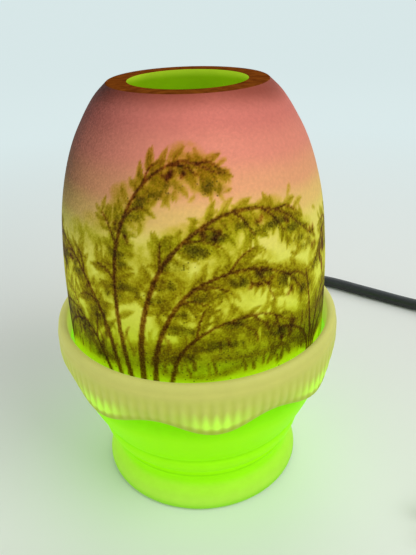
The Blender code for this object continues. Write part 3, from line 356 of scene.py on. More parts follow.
CORD_RADIUS = 0.0035
SWITCH_AXIS = Vector((0.809017, -0.587785, 0))
SWITCH_IN = Vector((0.1740, 0.0823, 0.00815))
SWITCH_OUT = SWITCH_IN + SWITCH_AXIS * 0.062
ROUTE_INSIDE = ((0, 0.014, 0.0105), (0, 0.040, 0.0105))
ROUTE_TO_SWITCH = (
    (0, 0.0703, 0.0105), (0, 0.0773, 0.0105), (0.0010, 0.0900, 0.0066), (0.0060, 0.1060, 0.0038),
    (0.0180, 0.1270, 0.0037), (0.0380, 0.1430, 0.0037), (0.0640, 0.1500, 0.0037),
    (0.0890, 0.1440, 0.0037), (0.1150, 0.1255, 0.0037), (0.1400, 0.1070, 0.0037),
    (0.1550, 0.0961, 0.0062),
)
ROUTE_TO_COIL = (
    (0.2380, 0.0335, 0.0056), (0.2430, 0.0205, 0.0041), (0.2449, 0.0100, 0.0042),
    (0.2450, 0.0023, 0.0048),
)
# A cord's straight end before a fitting, its last step outside, and its ends inside
STRAIGHT, CLEAR, INTO_SWITCH, INTO_PLUG = 0.0073, 0.0003, 0.006, 0.010
COIL_CENTRE = (0.1980, -0.0120)
COIL_RADIUS, COIL_STEP, COIL_LOW = 0.0470, 0.0077, 0.0048
COIL_IN, COIL_OUT, COIL_POINTS = 2.75, 3.0, 72
PLUG_START = Vector((0.1574, -0.060925, 0.0092))


def coil_points():
    """In along the lower layer, up in a half turn, and out along the upper."""
    inmost = COIL_RADIUS - COIL_STEP * COIL_IN
    points = []
    for step in range(round((COIL_IN + 0.5 + COIL_OUT) * COIL_POINTS) + 1):
        turns = step / COIL_POINTS
        after_in = turns - COIL_IN
        climb = min(max(after_in / 0.5, 0), 1)
        if after_in <= 0:
            radius = COIL_RADIUS - COIL_STEP * turns
        elif climb < 1:
            radius = inmost - COIL_STEP * climb * (1 - climb) / 2
        else:
            radius = inmost + COIL_STEP * (after_in - 0.5)
        angle = -FULL_TURN * turns
        x, y = COIL_CENTRE[0] + radius * math.cos(angle), COIL_CENTRE[1] + radius * math.sin(angle)
        points.append((x, y, COIL_LOW + COIL_STEP * ease(climb)))
    return points


def cord_curve(name, points, finish):
    """A round cord as one open spline, and its length."""
    curve = bpy.data.curves.new(name, "CURVE")
    curve.dimensions = "3D"
    curve.bevel_depth, curve.bevel_resolution = CORD_RADIUS, 5
    curve.use_fill_caps = True
    spline = curve.splines.new("POLY")
    spline.points.add(len(points) - 1)
    for spot, point in zip(spline.points, points):
        spot.co = (*point, 1.0)
    curve.materials.append(finish.material)
    length = float(np.linalg.norm(np.diff(np.array(points), axis=0), axis=1).sum())
    return add_object(name, curve), length


def make_cords():
    """The cord from inside the foot to the switch, and on through the coil to the plug."""
    finish = Finish("cord_pvc", 0.42, specular=0.45)
    finish.set(Base_Color=finish.tones(finish.noise(900, 3), (20, 22, 21), (33, 36, 34)))
    finish.set(Roughness=finish.vary(finish.noise(140), 0.36, 0.5))
    finish.grain(2600, 2, 0.05, 0.5)
    ends = [SWITCH_IN - SWITCH_AXIS * STRAIGHT, SWITCH_IN - SWITCH_AXIS * CLEAR]
    smooth = evenly(catmull([*ROUTE_TO_SWITCH, *ends]), 110)
    points = [*ROUTE_INSIDE, *smooth, SWITCH_IN + SWITCH_AXIS * INTO_SWITCH]
    first, first_length = cord_curve("cord_to_switch", points, finish)
    leave = [SWITCH_OUT + SWITCH_AXIS * CLEAR, SWITCH_OUT + SWITCH_AXIS * STRAIGHT]
    coil = coil_points()
    bend = catmull([*leave, *ROUTE_TO_COIL, (0.245, -0.0047, COIL_LOW)])
    end, straight = Vector(coil[-1]), Vector((STRAIGHT, 0, 0))
    lead = catmull([end, end - straight, PLUG_START + straight, PLUG_START])
    points = [SWITCH_OUT - SWITCH_AXIS * INTO_SWITCH, *evenly(bend, 36), *coil[1:]]
    points += [*evenly(lead, 14)[1:], PLUG_START - Vector((INTO_PLUG, 0, 0))]
    second, second_length = cord_curve("cord_to_plug", points, finish)
    place(first, "base", "cord_black", "cord_tail", "cord_run")
    place(second, "base", "cord_black", "cord_run_2", "cord_coil", "cord_plug_lead")
    return first, first_length, second, second_length


# Turned forms


def rounded(points, radius, steps=3):
    """An open outline with each inner corner cut back to a small arc."""
    line = [np.array(p, float) for p in points]
    out = [line[0]]
    for before, corner, after in zip(line, line[1:], line[2:]):
        back, ahead = before - corner, after - corner
        reach = min(radius, np.linalg.norm(back) / 2.2, np.linalg.norm(ahead) / 2.2)
        start = corner + back / np.linalg.norm(back) * reach
        end = corner + ahead / np.linalg.norm(ahead) * reach
        for step in range(steps + 1):
            t = step / steps
            out.append((1 - t) ** 2 * start + 2 * t * (1 - t) * corner + t * t * end)
    out.append(line[-1])
    return np.array(out)


class Skin:
    """A form of rings, whose counts may change by a whole ratio."""

    def __init__(self):
        self.loops, self.ring_slots = [], []
        self.faces, self.maps, self.slots = [], [], []

    def loop(self, points, slot=0):
        """Add a ring of any shape."""
        self.loops.append(np.array(points, float))
        self.ring_slots.append(slot)

    def ring(self, radius, height, count, slot=0):
        """Add a ring about the Z axis; radius and height are numbers or one value per point."""
        angle = bearings(count)
        tall = np.broadcast_to(height, count)
        self.loop(np.stack([radius * np.cos(angle), radius * np.sin(angle), tall], 1), slot)

    def turned(self, line, count, slot=0):
        """Add a ring for each radius and height."""
        for radius, height in line:
            self.ring(radius, height, count, slot)
        return self

    def starts(self):
        """The number of each ring's first point."""
        return np.cumsum([0, *map(len, self.loops)]).tolist()

    def face(self, corners, spots, slot, flip):
        """Add a face with its places on the map."""
        self.faces.append(corners[::-1] if flip else corners)
        self.maps.append(np.array(spots[::-1] if flip else spots))
        self.slots.append(slot)

    def join(self, slot, low, high):
        """Faces between two rings, each given by its first point, count and height on the map."""
        (start, count, v), (end, other, w) = low, high
        if count == other:
            i = np.arange(count)
            j = (i + 1) % count
            self.faces += np.stack([start + i, start + j, end + j, end + i], 1).tolist()
            left, right = i / count, (i + 1) / count
            v, w = np.full(count, v), np.full(count, w)
            self.maps.append(np.stack([left, v, right, v, right, w, left, w], 1).reshape(-1, 2))
            self.slots += [slot] * count
            return
        flip = count < other
        if flip:
            (start, count, v), (end, other, w) = high, low
        ratio = count // other
        for i in range(other):
            near, far = (end + i, i / other), (end + (i + 1) % other, (i + 1) / other)
            for k in range(ratio):
                at = i * ratio + k
                corner, u = near if k < ratio / 2 else far
                spots = [(at / count, v), ((at + 1) / count, v), (u, w)]
                self.face([start + at, start + (at + 1) % count, corner], spots, slot, flip)
            at = i * ratio + ratio // 2
            spots = [(near[1], w), (at / count, v), (far[1], w)]
            self.face([near[0], start + at, far[0]], spots, slot, flip)

    def cap(self, start, count, slot, flip):
        """Close an end with one flat face."""
        angle = bearings(count)
        spots = 0.5 + 0.01 * np.stack([np.cos(angle), np.sin(angle)], 1)
        self.face(list(range(start, start + count)), spots, slot, flip)

    def build(self, name, closed=True, turn=None):
        """The mesh with its OFBake map: ends joined to each other, or each capped."""
        starts, number = self.starts(), len(self.loops)
        firsts = np.array([loop[0] for loop in [*self.loops, self.loops[0]]])
        steps = np.linalg.norm(np.diff(firsts, axis=0), axis=1) + 1e-6
        tall = np.concatenate([[0], np.cumsum(steps)]) / steps.sum()
        for index in range(number if closed else number - 1):
            after = (index + 1) % number
            low = (starts[index], len(self.loops[index]), tall[index])
            high = (starts[after], len(self.loops[after]), tall[index + 1])
            self.join(self.ring_slots[index], low, high)
        if not closed:
            self.cap(0, len(self.loops[0]), self.ring_slots[0], True)
            self.cap(starts[-2], len(self.loops[-1]), self.ring_slots[-1], False)
        mesh = bpy.data.meshes.new(name)
        mesh.from_pydata(np.vstack(self.loops).tolist(), [], self.faces)
        if turn:
            mesh.transform(turn)
        mesh.polygons.foreach_set("material_index", self.slots)
        chart = mesh.uv_layers.new(name="OFBake")
        chart.data.foreach_set("uv", np.vstack(self.maps).astype(np.float32).ravel())
        mesh.shade_smooth()
        return mesh

    def put(self, name, finish, slot, *nodes, body="base", closed=True, turn=None):
        """Build the form as a piece of the model."""
        made = mesh_object(name, self.build(name, closed, turn), finish)
        return place(made, body, slot, *nodes)


def paint(mesh, name, values):
    """Store a colour or a number on each point."""
    if values.ndim == 2:
        data = mesh.attributes.new(name, "FLOAT_COLOR", "POINT").data
        full = np.ones((len(values), 4), np.float32)
        full[:, :3] = values
        data.foreach_set("color", full.ravel())
    else:
        data = mesh.attributes.new(name, "FLOAT", "POINT").data
        data.foreach_set("value", values.astype(np.float32))


# Shade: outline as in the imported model, then its painted decor

SHADE_FOOT, SHADE_TOP = 0.0640, 0.1650
SHADE_RADIUS, SHADE_TOP_RADIUS, MOUTH_RADIUS = 0.0517, 0.0282, 0.0210
SHADE_WALL, SHADE_TOP_WALL = 0.0036, 0.0048
# How high up the dome, and how far out between its mouth and its foot
SHADE_SHARES = (
    (0.0, 1.0), (0.09, 1.0), (0.18, 0.999), (0.35, 0.977), (0.51, 0.917), (0.60, 0.858),
    (0.68, 0.777), (0.755, 0.676), (0.82, 0.560), (0.877, 0.426), (0.92, 0.312), (0.96, 0.182),
    (1.0, 0.0),
)
SHADE_COLUMNS, SHADE_INNER_COLUMNS, SHADE_ROWS = 560, 140, 150


def shade_outline():
    """The outside from the foot to the top edge."""
    spread, span = SHADE_RADIUS - SHADE_TOP_RADIUS, SHADE_TOP - SHADE_FOOT
    line = [(SHADE_TOP_RADIUS + spread * r, SHADE_FOOT + span * h) for h, r in SHADE_SHARES]
    return catmull(line)


class Route:
    """A smooth line through points, with the place and bearing at each share of its length."""

    def __init__(self, points):
        self.line = catmull(points, 14)
        legs = np.linalg.norm(np.diff(self.line, axis=0), axis=1)
        self.length = legs.sum()
        self.along = np.concatenate([[0], np.cumsum(legs)]) / self.length

    def spot(self, share):
        """The place and bearing at a share of the length."""
        return self.at(int(np.searchsorted(self.along, share)))

    def at(self, number):
        """The place and bearing at a point of the line."""
        number = min(number, len(self.line) - 2)
        (x, y), (after_x, after_y) = self.line[number : number + 2]
        return x, y, math.atan2(after_y - y, after_x - x)


class Canvas:
    """Paint densities over the shade's outside: x in mm round it, y in mm up its wall."""

    def __init__(self, tall, seed):
        self.round = FULL_TURN * SHADE_RADIUS / MM
        self.tall = tall / MM
        self.dx, self.dy = self.round / SHADE_COLUMNS, self.tall / (SHADE_ROWS - 1)
        blank = np.zeros((SHADE_ROWS, SHADE_COLUMNS))
        self.layers = {key: blank.copy() for key in ("olive", "umber", "dark", "specks")}
        self.random = np.random.default_rng(seed)
        self.grain = self.cloudy(2.0) * 0.5 + self.cloudy(4.5) * 0.5
        self.drift = self.cloudy(16)

    def cloudy(self, size):
        """Smooth noise from 0 to 1 with features of about this many mm, whole round the shade."""
        across = max(4, round(self.round / size))
        up = max(4, round(self.tall / size))
        coarse = self.random.random((up + 2, across))
        x = np.arange(SHADE_COLUMNS) / SHADE_COLUMNS * across
        y = np.arange(SHADE_ROWS) / (SHADE_ROWS - 1) * up
        i, j = np.floor(y).astype(int), np.floor(x).astype(int)
        s, t = y - i, x - j
        s, t = ease(s)[:, None], ease(t)[None]
        j, k = j % across, (j + 1) % across
        low = coarse[i][:, j] * (1 - t) + coarse[i][:, k] * t
        high = coarse[i + 1][:, j] * (1 - t) + coarse[i + 1][:, k] * t
        return low * (1 - s) + high * s

    def window(self, x, y, reach):
        """The cells within reach of a spot, with their places from it."""
        j0, j1 = int((x - reach) / self.dx), int((x + reach) / self.dx) + 2
        i0, i1 = max(0, int((y - reach) / self.dy)), min(SHADE_ROWS, int((y + reach) / self.dy) + 2)
        if i1 <= i0:
            return None
        columns = np.arange(j0, j1)
        rows = np.arange(i0, i1)
        where = np.ix_(rows, columns % SHADE_COLUMNS)
        return where, columns[None] * self.dx - x, rows[:, None] * self.dy - y

    def lay(self, layer, where, value, top=None):
        """Add density, up to a top value where one is given."""
        sheet = self.layers[layer]
        if top is None:
            sheet[where] += value
        else:
            sheet[where] = np.maximum(sheet[where], np.minimum(sheet[where] + value, top))

    def wash(self, x, y, wide, tall, weight, layer="olive", broken=0.6):
        """A soft, broken cloud of colour."""
        found = self.window(x, y, 1.9 * max(wide, tall))
        if found:
            where, u, v = found
            body = unit(1.25 - (u / wide) ** 2 - (v / tall) ** 2) ** 0.8
            grain = unit((self.grain[where] - 0.30) * 3.0)
            self.lay(layer, where, weight * body * (1 - broken + broken * grain))

    def dot(self, x, y, radius, weight, layer):
        """A small soft dab."""
        found = self.window(x, y, 2.4 * radius)
        if found:
            where, u, v = found
            self.lay(layer, where, weight * np.exp(-(u * u + v * v) / radius**2))

    def stroke(self, points, widths, weight, layer="umber", soft=0.4):
        """A brush line through the points, as wide as it says at each."""
        line = catmull(points, 8)
        wide = np.interp(np.linspace(0, 1, len(line)), np.linspace(0, 1, len(widths)), widths)
        for (x0, y0), (x1, y1), w in zip(line, line[1:], wide):
            reach = math.hypot(x1 - x0, y1 - y0) / 2 + w + 1.2
            found = self.window((x0 + x1) / 2, (y0 + y1) / 2, reach)
            if not found:
                continue
            where, u, v = found
            u, v = u + (x0 + x1) / 2 - x0, v + (y0 + y1) / 2 - y0
            dx, dy = x1 - x0, y1 - y0
            t = unit((u * dx + v * dy) / max(dx * dx + dy * dy, 1e-9))
            off = np.hypot(u - t * dx, v - t * dy)
            body = unit((w / 2 + soft - off) / (2 * soft)) * min(1.0, 0.45 + w / 1.4)
            self.lay(layer, where, weight * body, weight)

    def leaf(self, x, y, length, width, angle, weight, vein=0.5, layer="olive"):
        """A pointed leaf from its stalk end, darker to one side and along its vein."""
        cos, sin = math.cos(angle), math.sin(angle)
        found = self.window(x + cos * length / 2, y + sin * length / 2, length / 2 + 1.0)
        if not found:
            return
        where, u, v = found
        u, v = u + cos * length / 2, v + sin * length / 2
        t = (u * cos + v * sin) / length
        s = v * cos - u * sin - length * 0.08 * np.sin(unit(t) * math.pi)
        half = width / 2 * np.sin(math.pi * unit(t) ** 0.8) ** 0.85
        inside = unit((half - np.abs(s)) / 0.6 + 0.5) * ((t > 0) & (t < 1))
        side = 0.78 + 0.40 * np.clip(-s / (width / 2), -1, 1)
        tone = side * (0.75 + 0.5 * self.grain[where])
        self.lay(layer, where, weight * inside * tone, weight * 1.7)
        if vein:
            line = unit(1 - np.abs(s) / 0.4) * inside
            self.lay("umber", where, vein * line * (1 - 0.6 * unit(t)), 0.9)

    def foliage(self, route, bare, weight):
        """Broken washes with small loose leaves that hang along a route."""
        random = self.random
        for t in np.arange(bare + 0.1, 1.0, 6.0 / route.length):
            px, py, _ = route.spot(t)
            px, py = px + random.normal(0, 2.0), py - 2.5 + random.normal(0, 1.6)
            wide, tall = random.uniform(6, 10), random.uniform(3.6, 6.2)
            self.wash(px, py, wide, tall, 0.46 * weight, "olive", 0.8)
            for _ in range(7):
                at = (px + random.normal(0, 4.2), py + random.normal(0.5, 3.0))
                grown = random.uniform(3.2, 5.6)
                tone = weight * random.uniform(0.25, 0.8)
                hangs = random.random() < 0.6
                way = random.uniform(-2.6, -0.4) if hangs else random.uniform(-3, 3)
                self.leaf(*at, grown, grown * 0.42, way, tone, 0.12)
            wide, tall = random.uniform(3.5, 6), random.uniform(1.8, 3)
            self.wash(px + 1, py - 2.5, wide, tall, 0.7, "specks", 0.6)
            wide, tall = random.uniform(3, 5), random.uniform(1.2, 2.2)
            self.wash(px + 0.6, py - 2.2, wide, tall, 0.3 * weight, "dark", 0.9)

    def leaves(self, route, bare, weight, size):
        """Leaves to either side in turn, drooping."""
        random = self.random
        turn = 1
        for t in np.arange(bare, 0.99, 2.1 / route.length):
            px, py, way = route.spot(t)
            turn = -turn
            angle = way + turn * random.uniform(0.5, 1.0)
            droop = math.atan2(math.sin(angle) - 0.45, math.cos(angle))
            grown = size * random.uniform(0.7, 1.15) * (1.1 - 0.35 * t)
            width = grown * random.uniform(0.28, 0.38)
            self.leaf(px, py, grown, width, droop, weight * random.uniform(0.5, 1.15), 0.22)

    def twigs(self, route, bare, weight, size):
        """Leafy side twigs."""
        random = self.random
        for t in np.arange(bare + 0.12, 0.9, 11.0 / route.length):
            px, py, way = route.spot(t + random.uniform(-0.03, 0.03))
            side = random.choice((-1, 1))
            lean, far = side * random.uniform(0.35, 0.8), random.uniform(9, 15)
            dx, dy = far * math.cos(way + lean), far * math.sin(way + lean) - 3
            twig = [(px, py), (px + dx / 2, py + dy / 2 + 1.4), (px + dx, py + dy)]
            self.stroke(twig, (0.6, 0.4, 0.25), 0.8)
            for number in range(7):
                share = 0.25 + 0.75 * number / 6
                qx, qy = px + dx * share, py + dy * share + 1.2 * math.sin(math.pi * share)
                fork = (0.75 if number % 2 else -0.75) * random.uniform(0.7, 1.2)
                angle = math.atan2(dy, dx) + fork - 0.15
                grown = size * random.uniform(0.55, 0.85)
                tone = weight * random.uniform(0.5, 1.1)
                self.leaf(qx, qy, grown, grown * 0.36, angle, tone, 0.2)

    def cane(self, points, thick, weight, bare=0.26, size=8.5):
        """An arching cane with hanging leaves over broken washes."""
        random = self.random
        route = Route(points)
        self.foliage(route, bare, weight)
        widths = (thick * 1.2, thick * 0.85, thick * 0.6, thick * 0.4, 0.5, 0.3)
        self.stroke(points, widths, 1.0)
        shadow = [(px + 0.4, py - 0.2) for px, py in points]
        self.stroke(shadow, (thick * 0.4, thick * 0.25, 0.1, 0.0), 0.5)
        self.leaves(route, bare, weight, size)
        self.twigs(route, bare, weight, size)
        px, py, way = route.spot(0.985)
        self.leaf(px, py, size * 0.8, size * 0.26, way, weight, 0.4)
        for _ in range(int(route.length / 16)):
            px, py, _ = route.spot(random.uniform(0.55, 1.0))
            px, py = px + random.normal(0, 3), py - random.uniform(1, 6)
            for _ in range(3):
                self.dot(px + random.normal(0, 0.8), py + random.normal(0, 0.8), 0.7, 0.7, "umber")

    def fern(self, x, y, lean, tall, weight):
        """A frond: a curved rib with fine leaflets that shorten to its tip."""
        line = []
        for t in range(6):
            across = x + lean * tall * (t / 5) ** 1.8
            line.append((across, y + tall * (t / 5) * (1 - 0.14 * abs(lean) * t)))
        self.stroke(line, (0.9, 0.7, 0.4), 1.0)
        route = Route(line)
        count = int(tall / 1.55)
        for number in range(count):
            t = 0.1 + 0.88 * number / count
            px, py, way = route.at(int(t * (len(route.line) - 2)))
            size = tall * 0.25 * math.sin(math.pi * (0.12 + 0.84 * t)) ** 0.8
            for side in (1, -1):
                self.leaf(px, py, size, 1.25, way + side, weight * (0.85 + 0.15 * side), 0)

    def reed(self, x, y, lean, tall, weight):
        """A long bent blade or a stalk with its seed head."""
        sway = lean * tall
        line = [(x, y), (x + sway * 0.12, y + tall * 0.5), (x + sway * 0.45, y + tall)]
        self.stroke(line, (1.3, 1.0, 0.7, 0.35), weight, "olive", 0.45)
        if self.random.random() < 0.4:
            self.leaf(*line[-1], 7.5, 2.3, 1.5 - lean * 0.4, 1.2, 0.6, "umber")

    def grass(self, x, y, tall, weight):
        """One bent blade."""
        lean = self.random.uniform(-0.5, 0.5)
        sway = lean * tall
        line = [(x, y), (x + sway * 0.25, y + tall * 0.55), (x + sway * 0.8, y + tall)]
        layer = self.random.choice(["olive", "umber"], p=[0.8, 0.2])
        self.stroke(line, (0.7, 0.55, 0.3), weight, layer, 0.45)

    def meadow(self):
        """Grassy ground all round: a wash with an uneven edge, drifts, blades and specks."""
        random = self.random
        x = np.arange(SHADE_COLUMNS) * self.dx
        y = np.arange(SHADE_ROWS)[:, None] * self.dy
        turn = FULL_TURN * x / self.round
        edge = 25 + 2.0 * np.sin(2 * turn + 0.6) + 1.2 * np.sin(5 * turn + 2.1)
        edge += 0.7 * np.sin(13 * turn)
        depth = unit((edge - y) / 2.0)
        fade = np.clip((y - 8) / 9, 0.12, 1)
        self.layers["olive"] += 0.55 * depth * fade * (0.6 + 0.5 * self.grain + 0.5 * self.drift)
        for level, wave, shift in ((22, 3, 4.0), (17.5, 4, 1.2), (13.5, 5, 5.1)):
            line = level + 1.7 * np.sin(wave * turn + shift)
            line += 0.9 * np.sin(2 * wave * turn + 2 * shift)
            drift = np.exp(-(((y - line) / 1.6) ** 2)) * unit((self.cloudy(9.0) - 0.35) * 2.6)
            self.layers["umber"] += 0.34 * drift
            self.layers["specks"] += 0.9 * drift
        for _ in range(1100):
            at = random.uniform(0, self.round)
            low = random.uniform(11, 24)
            self.grass(at, low, random.uniform(2.5, 7.5), random.uniform(0.15, 0.5))
        self.layers["specks"] += 0.22 * depth * fade


OLIVE, UMBER, DARK = lin(146, 130, 14), lin(112, 68, 16), lin(78, 74, 20)
BARE_GLASS = lin(226, 222, 140)
# Sprays of canes: bearing in mm round the shade, and weight
SPRAYS = ((-20, 1.0), (108, 0.95), (-118, 0.95))
CANES = (
    ((0, 4), (1, 30), (10, 54), (29, 68), (50, 67), (68, 54)),
    ((-4, 4), (-8, 30), (-8, 56), (0, 76), (15, 85), (30, 81)),
    ((4, 4), (7, 26), (18, 44), (36, 50), (52, 45), (61, 36)),
    ((-8, 4), (-15, 31), (-29, 48), (-45, 52), (-57, 43)),
    ((9, 4), (14, 21), (26, 31), (42, 33), (55, 26)),
    ((-12, 4), (-20, 21), (-33, 28), (-47, 25)),
)
CANE_WIDTHS = (1.9, 1.6, 1.5, 1.4, 1.2, 1.0)
# Clumps of fern: bearing, and each frond's lean and height
CLUMPS = (
    (46, ((-0.55, 26), (-0.1, 34), (0.35, 31), (0.8, 24))),
    (-66, ((-0.5, 27), (0.1, 35), (0.6, 28))),
    (150, ((-0.5, 28), (0.1, 34), (0.7, 26))),
    (-158, ((-0.6, 26), (0.0, 32), (0.6, 28))),
)
REEDS_AT = (66, -92, 178)
# Painted shade and light: how brightly the upper glass is lit at each bearing in degrees
PAINTED_LAMP_LIGHT = (
    (-180, 1.0), (-135, 0.58), (-112, 0.26), (-90, 0.14), (-79, 0.17), (-68, 0.27), (-58, 0.42),
    (-47, 0.59), (-35, 0.76), (-25, 0.88), (-14, 1.0), (0, 1.10), (15, 1.13), (30, 1.07),
    (45, 1.0), (60, 0.97), (90, 0.86), (112, 0.58), (130, 0.50), (150, 0.72), (180, 1.0),
)


def painted_lamp_light(canvas):
    """Painted light and shade round the shade: darker or lighter by bearing on the upper glass, and
    brighter low down.
    """
    bearing = (np.arange(SHADE_COLUMNS) / SHADE_COLUMNS * 360 + 90 + 180) % 360 - 180
    share = np.interp(bearing, *zip(*PAINTED_LAMP_LIGHT))
    up = np.arange(SHADE_ROWS)[:, None] / (SHADE_ROWS - 1) * canvas.tall
    weight = ease(unit((up - 42) / 34))
    # Painted glow on the lowest band of glass, just above the collar
    low = 1 + 0.5 * unit((14 - up) / 6)
    return low * share[None] ** (weight * (0.9 + 0.2 * np.roll(canvas.drift, 40, axis=1)))


def draw_decor(canvas):
    """Hanging sprays, ferns and reeds over a meadow."""
    random = canvas.random
    canvas.meadow()
    for x, weight in SPRAYS:
        flip = -1 if x < -100 else 1
        for points, width in zip(CANES, CANE_WIDTHS):
            canvas.cane([(x + flip * px, py) for px, py in points], width, weight)
        for _ in range(26):
            across, up = random.normal(0, 26), random.uniform(30, 62)
            if abs(across) < 52:
                canvas.wash(x + across + 8 * flip, up, 8, 5, 0.22 * weight, "olive", 0.8)
    for x, fronds in CLUMPS:
        for number, (lean, height) in enumerate(fronds):
            canvas.fern(x + 1.5 * number, 7, lean, height + 4, 0.8)
    for x in REEDS_AT:
        for _ in range(11):
            lean = random.uniform(-0.5, 0.5)
            canvas.reed(x + random.normal(0, 4), 6, lean, random.uniform(28, 46), 0.75)


def decor(tall):
    """The painted design as shares of the light that passes, times the painted shade and light
    round the shade, and its specks.
    """
    canvas = Canvas(tall, 23)
    draw_decor(canvas)
    front = round(-canvas.round / 4 / canvas.dx)
    layers = {key: np.roll(sheet, front, axis=1) for key, sheet in canvas.layers.items()}
    light = np.ones((SHADE_ROWS, SHADE_COLUMNS, 3))
    for layer, colour in (("olive", OLIVE), ("umber", UMBER), ("dark", DARK)):
        share = np.clip(np.array(colour) / np.array(BARE_GLASS), 0.004, 1)
        light *= share ** (1.35 * np.tanh(layers[layer][..., None] / 1.35))
    high = unit((np.arange(SHADE_ROWS)[:, None] * canvas.dy - 50) / 25)
    light[..., 1] *= 1 + 0.75 * high * np.tanh(1.2 * layers["olive"])
    # Painted shade and light round the shade, by bearing and height
    light *= painted_lamp_light(canvas)[..., None]
    return np.clip(light, 0.015, 1.6), unit(layers["specks"])


def shade_inside(outline):
    """The dome's inside from foot to mouth: its outside moved in by the wall."""
    line = evenly(outline, 56)
    along = line[2:-3] - line[:-5]
    along /= np.linalg.norm(along, axis=1)[:, None]
    inward = np.stack([-along[:, 1], along[:, 0]], 1)
    share = (line[1:-4, 1] - SHADE_FOOT) / (SHADE_TOP - SHADE_FOOT)
    wall = SHADE_WALL + (SHADE_TOP_WALL - SHADE_WALL) * share
    return line[1:-4] + wall[:, None] * inward


def make_shade():
    """The dome in satin glass: painted outside, ground rim and plain inside."""
    outline = shade_outline()
    body = evenly(outline, SHADE_ROWS)
    body[0] += (0, 0.4 * MM)
    tall = float(np.linalg.norm(np.diff(outline, axis=0), axis=1).sum())
    rim_middle = (MOUTH_RADIUS + 2.5 * MM, SHADE_TOP)
    top = rounded([body[-2], (SHADE_TOP_RADIUS, SHADE_TOP), rim_middle], 0.7 * MM)
    inner = shade_inside(outline)
    mouth = rounded([rim_middle, (MOUTH_RADIUS, SHADE_TOP), inner[-1]], 0.5 * MM)[1:-1]
    foot = [inner[0], *((SHADE_RADIUS - inset, SHADE_FOOT) for inset in (SHADE_WALL, 0.5 * MM))]
    foot = rounded(foot, 0.6 * MM)[1:]
    form = Skin().turned(body[:-1], SHADE_COLUMNS).turned(top[1:], SHADE_COLUMNS, 1)
    form.turned(mouth[:2], SHADE_INNER_COLUMNS, 1)
    for line in (mouth[2:], inner[::-1], foot):
        form.turned(line, SHADE_INNER_COLUMNS, 2)
    mesh = form.build("shade_glass_dome")
    light, specks = np.ones((len(mesh.vertices), 3)), np.zeros(len(mesh.vertices))
    flat, dusted = decor(tall)
    flat, dusted = flat[:-1].reshape(-1, 3), dusted[:-1].ravel()
    light[: len(flat)] = flat
    specks[: len(dusted)] = dusted
    light[len(flat) : len(flat) + SHADE_COLUMNS] = flat[-SHADE_COLUMNS:]
    paint(mesh, "decor", light)
    paint(mesh, "specks", specks)
    made = mesh_object("shade_glass_dome", mesh, painted_glass(), ground_rim(), inner_glass())
    return place(made, "shade", "shade_glass", "shade")


# The shade's ground colour from foot to top
GROUND = (
    (0.0, (150, 226, 14)), (0.13, (172, 214, 20)), (0.24, (200, 216, 50)), (0.36, (220, 226, 82)),
    (0.48, (222, 224, 92)), (0.58, (226, 216, 104)), (0.66, (228, 190, 112)),
    (0.74, (226, 160, 116)), (0.84, (222, 138, 116)), (0.93, (208, 120, 106)), (1.0, (150, 76, 62)),
)
INNER_GLOW = (
    (0.0, (190, 236, 60)), (0.6, (176, 214, 40)), (0.78, (158, 208, 18)), (0.87, (128, 174, 4)),
    (0.96, (130, 168, 6)), (1.0, (186, 212, 50)),
)


def painted_glass():
    """Rose above yellow-green, with the decor over it, lit from within."""
    finish = Finish("satin_shade", 0.58, specular=0.03)
    share = finish.span(finish.height(), SHADE_FOOT, SHADE_TOP)
    ground = finish.ramp(finish.drift(share, 18, 3, 0.10), GROUND)
    grain = finish.vary(finish.noise(1500, 4), 0.66, 1.34)
    # The decor attribute also carries the painted shade and light round the shade
    inputs = {"Color": finish.attribute("decor"), "Gamma": grain}
    paint_light = finish.node("ShaderNodeGamma", inputs).outputs[0]
    colour = finish.mix(1.0, ground, paint_light, "MULTIPLY")
    cells = finish.node("ShaderNodeTexVoronoi", {"Vector": finish.where, "Scale": 1350.0})
    chosen = finish.node("ShaderNodeSeparateColor", {0: cells.outputs["Color"]}).outputs[0]
    dusting = finish.maths("MULTIPLY", finish.attribute("specks", "Fac"), 0.40)
    chosen = finish.maths("LESS_THAN", chosen, dusting)
    near = finish.span(cells.outputs["Distance"], 0.20, 0.60, 1.0, 0.0)
    speck = finish.maths("MULTIPLY", finish.maths("MULTIPLY", chosen, near), 0.75)
    colour = finish.mix(speck, colour, lin(66, 60, 10))
    colour = finish.shade_by(colour, finish.noise(900, 3), 0.93, 1.06)
    finish.set(Roughness=finish.vary(finish.noise(700, 2), 0.54, 0.66))
    finish.grain(2400, 2, 0.05, 0.6)
    return finish.lit(colour, 0.60, 0.40)


def ground_rim():
    """The cut edge round the mouth: dark, with fine grinding marks."""
    finish = Finish("ground_rim", 0.7, specular=0.0)
    tone = finish.ramp(finish.noise(260, 5), ((0.25, (92, 42, 10)), (0.75, (124, 66, 18))))
    finish.set(Base_Color=tone, Emission_Color=tone, Emission_Strength=0.12)
    finish.grain(1600, 3, 0.05, 0.6)
    return finish


def inner_glass():
    """The unpainted inside, lit."""
    finish = Finish("inner_glass", 0.4, specular=0.35)
    glow = finish.ramp(finish.span(finish.height(), SHADE_FOOT, SHADE_TOP), INNER_GLOW)
    glow = finish.shade_by(glow, finish.noise(70, 3), 0.84, 1.10)
    finish.grain(500, 2, 0.05, 0.5)
    return finish.lit(glow, 0.6, 0.42)


# Glass base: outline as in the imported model, with its ribs, lobes and beads

RIM_BOTTOM, FOOT_RADIUS = 0.0015, 0.0430
BOWL_HIGH = 0.0530
LIP_INNER, LIP_OUTER, COLLAR_RADIUS = 0.0536, 0.0572, 0.05775
COLLAR_EDGE, COLLAR_TOP, SHOULDER = 0.0553, 0.0756, 0.0710
LEDGE_HEIGHT, LEDGE_RADIUS = 0.0637, 0.0475
FLOOR_HEIGHT, FLOOR_UNDERSIDE, STEM_HOLE = 0.0270, 0.0220, 0.0053
LOBES, LOBE_DEPTH, LOBE_FLARE, LOBE_AZIMUTH = 8, 0.0021, 0.0006, math.radians(-85)
RIBS, RIB_DEPTH = 96, 0.00042
BASE_FINE, BASE_COARSE = 768, 192
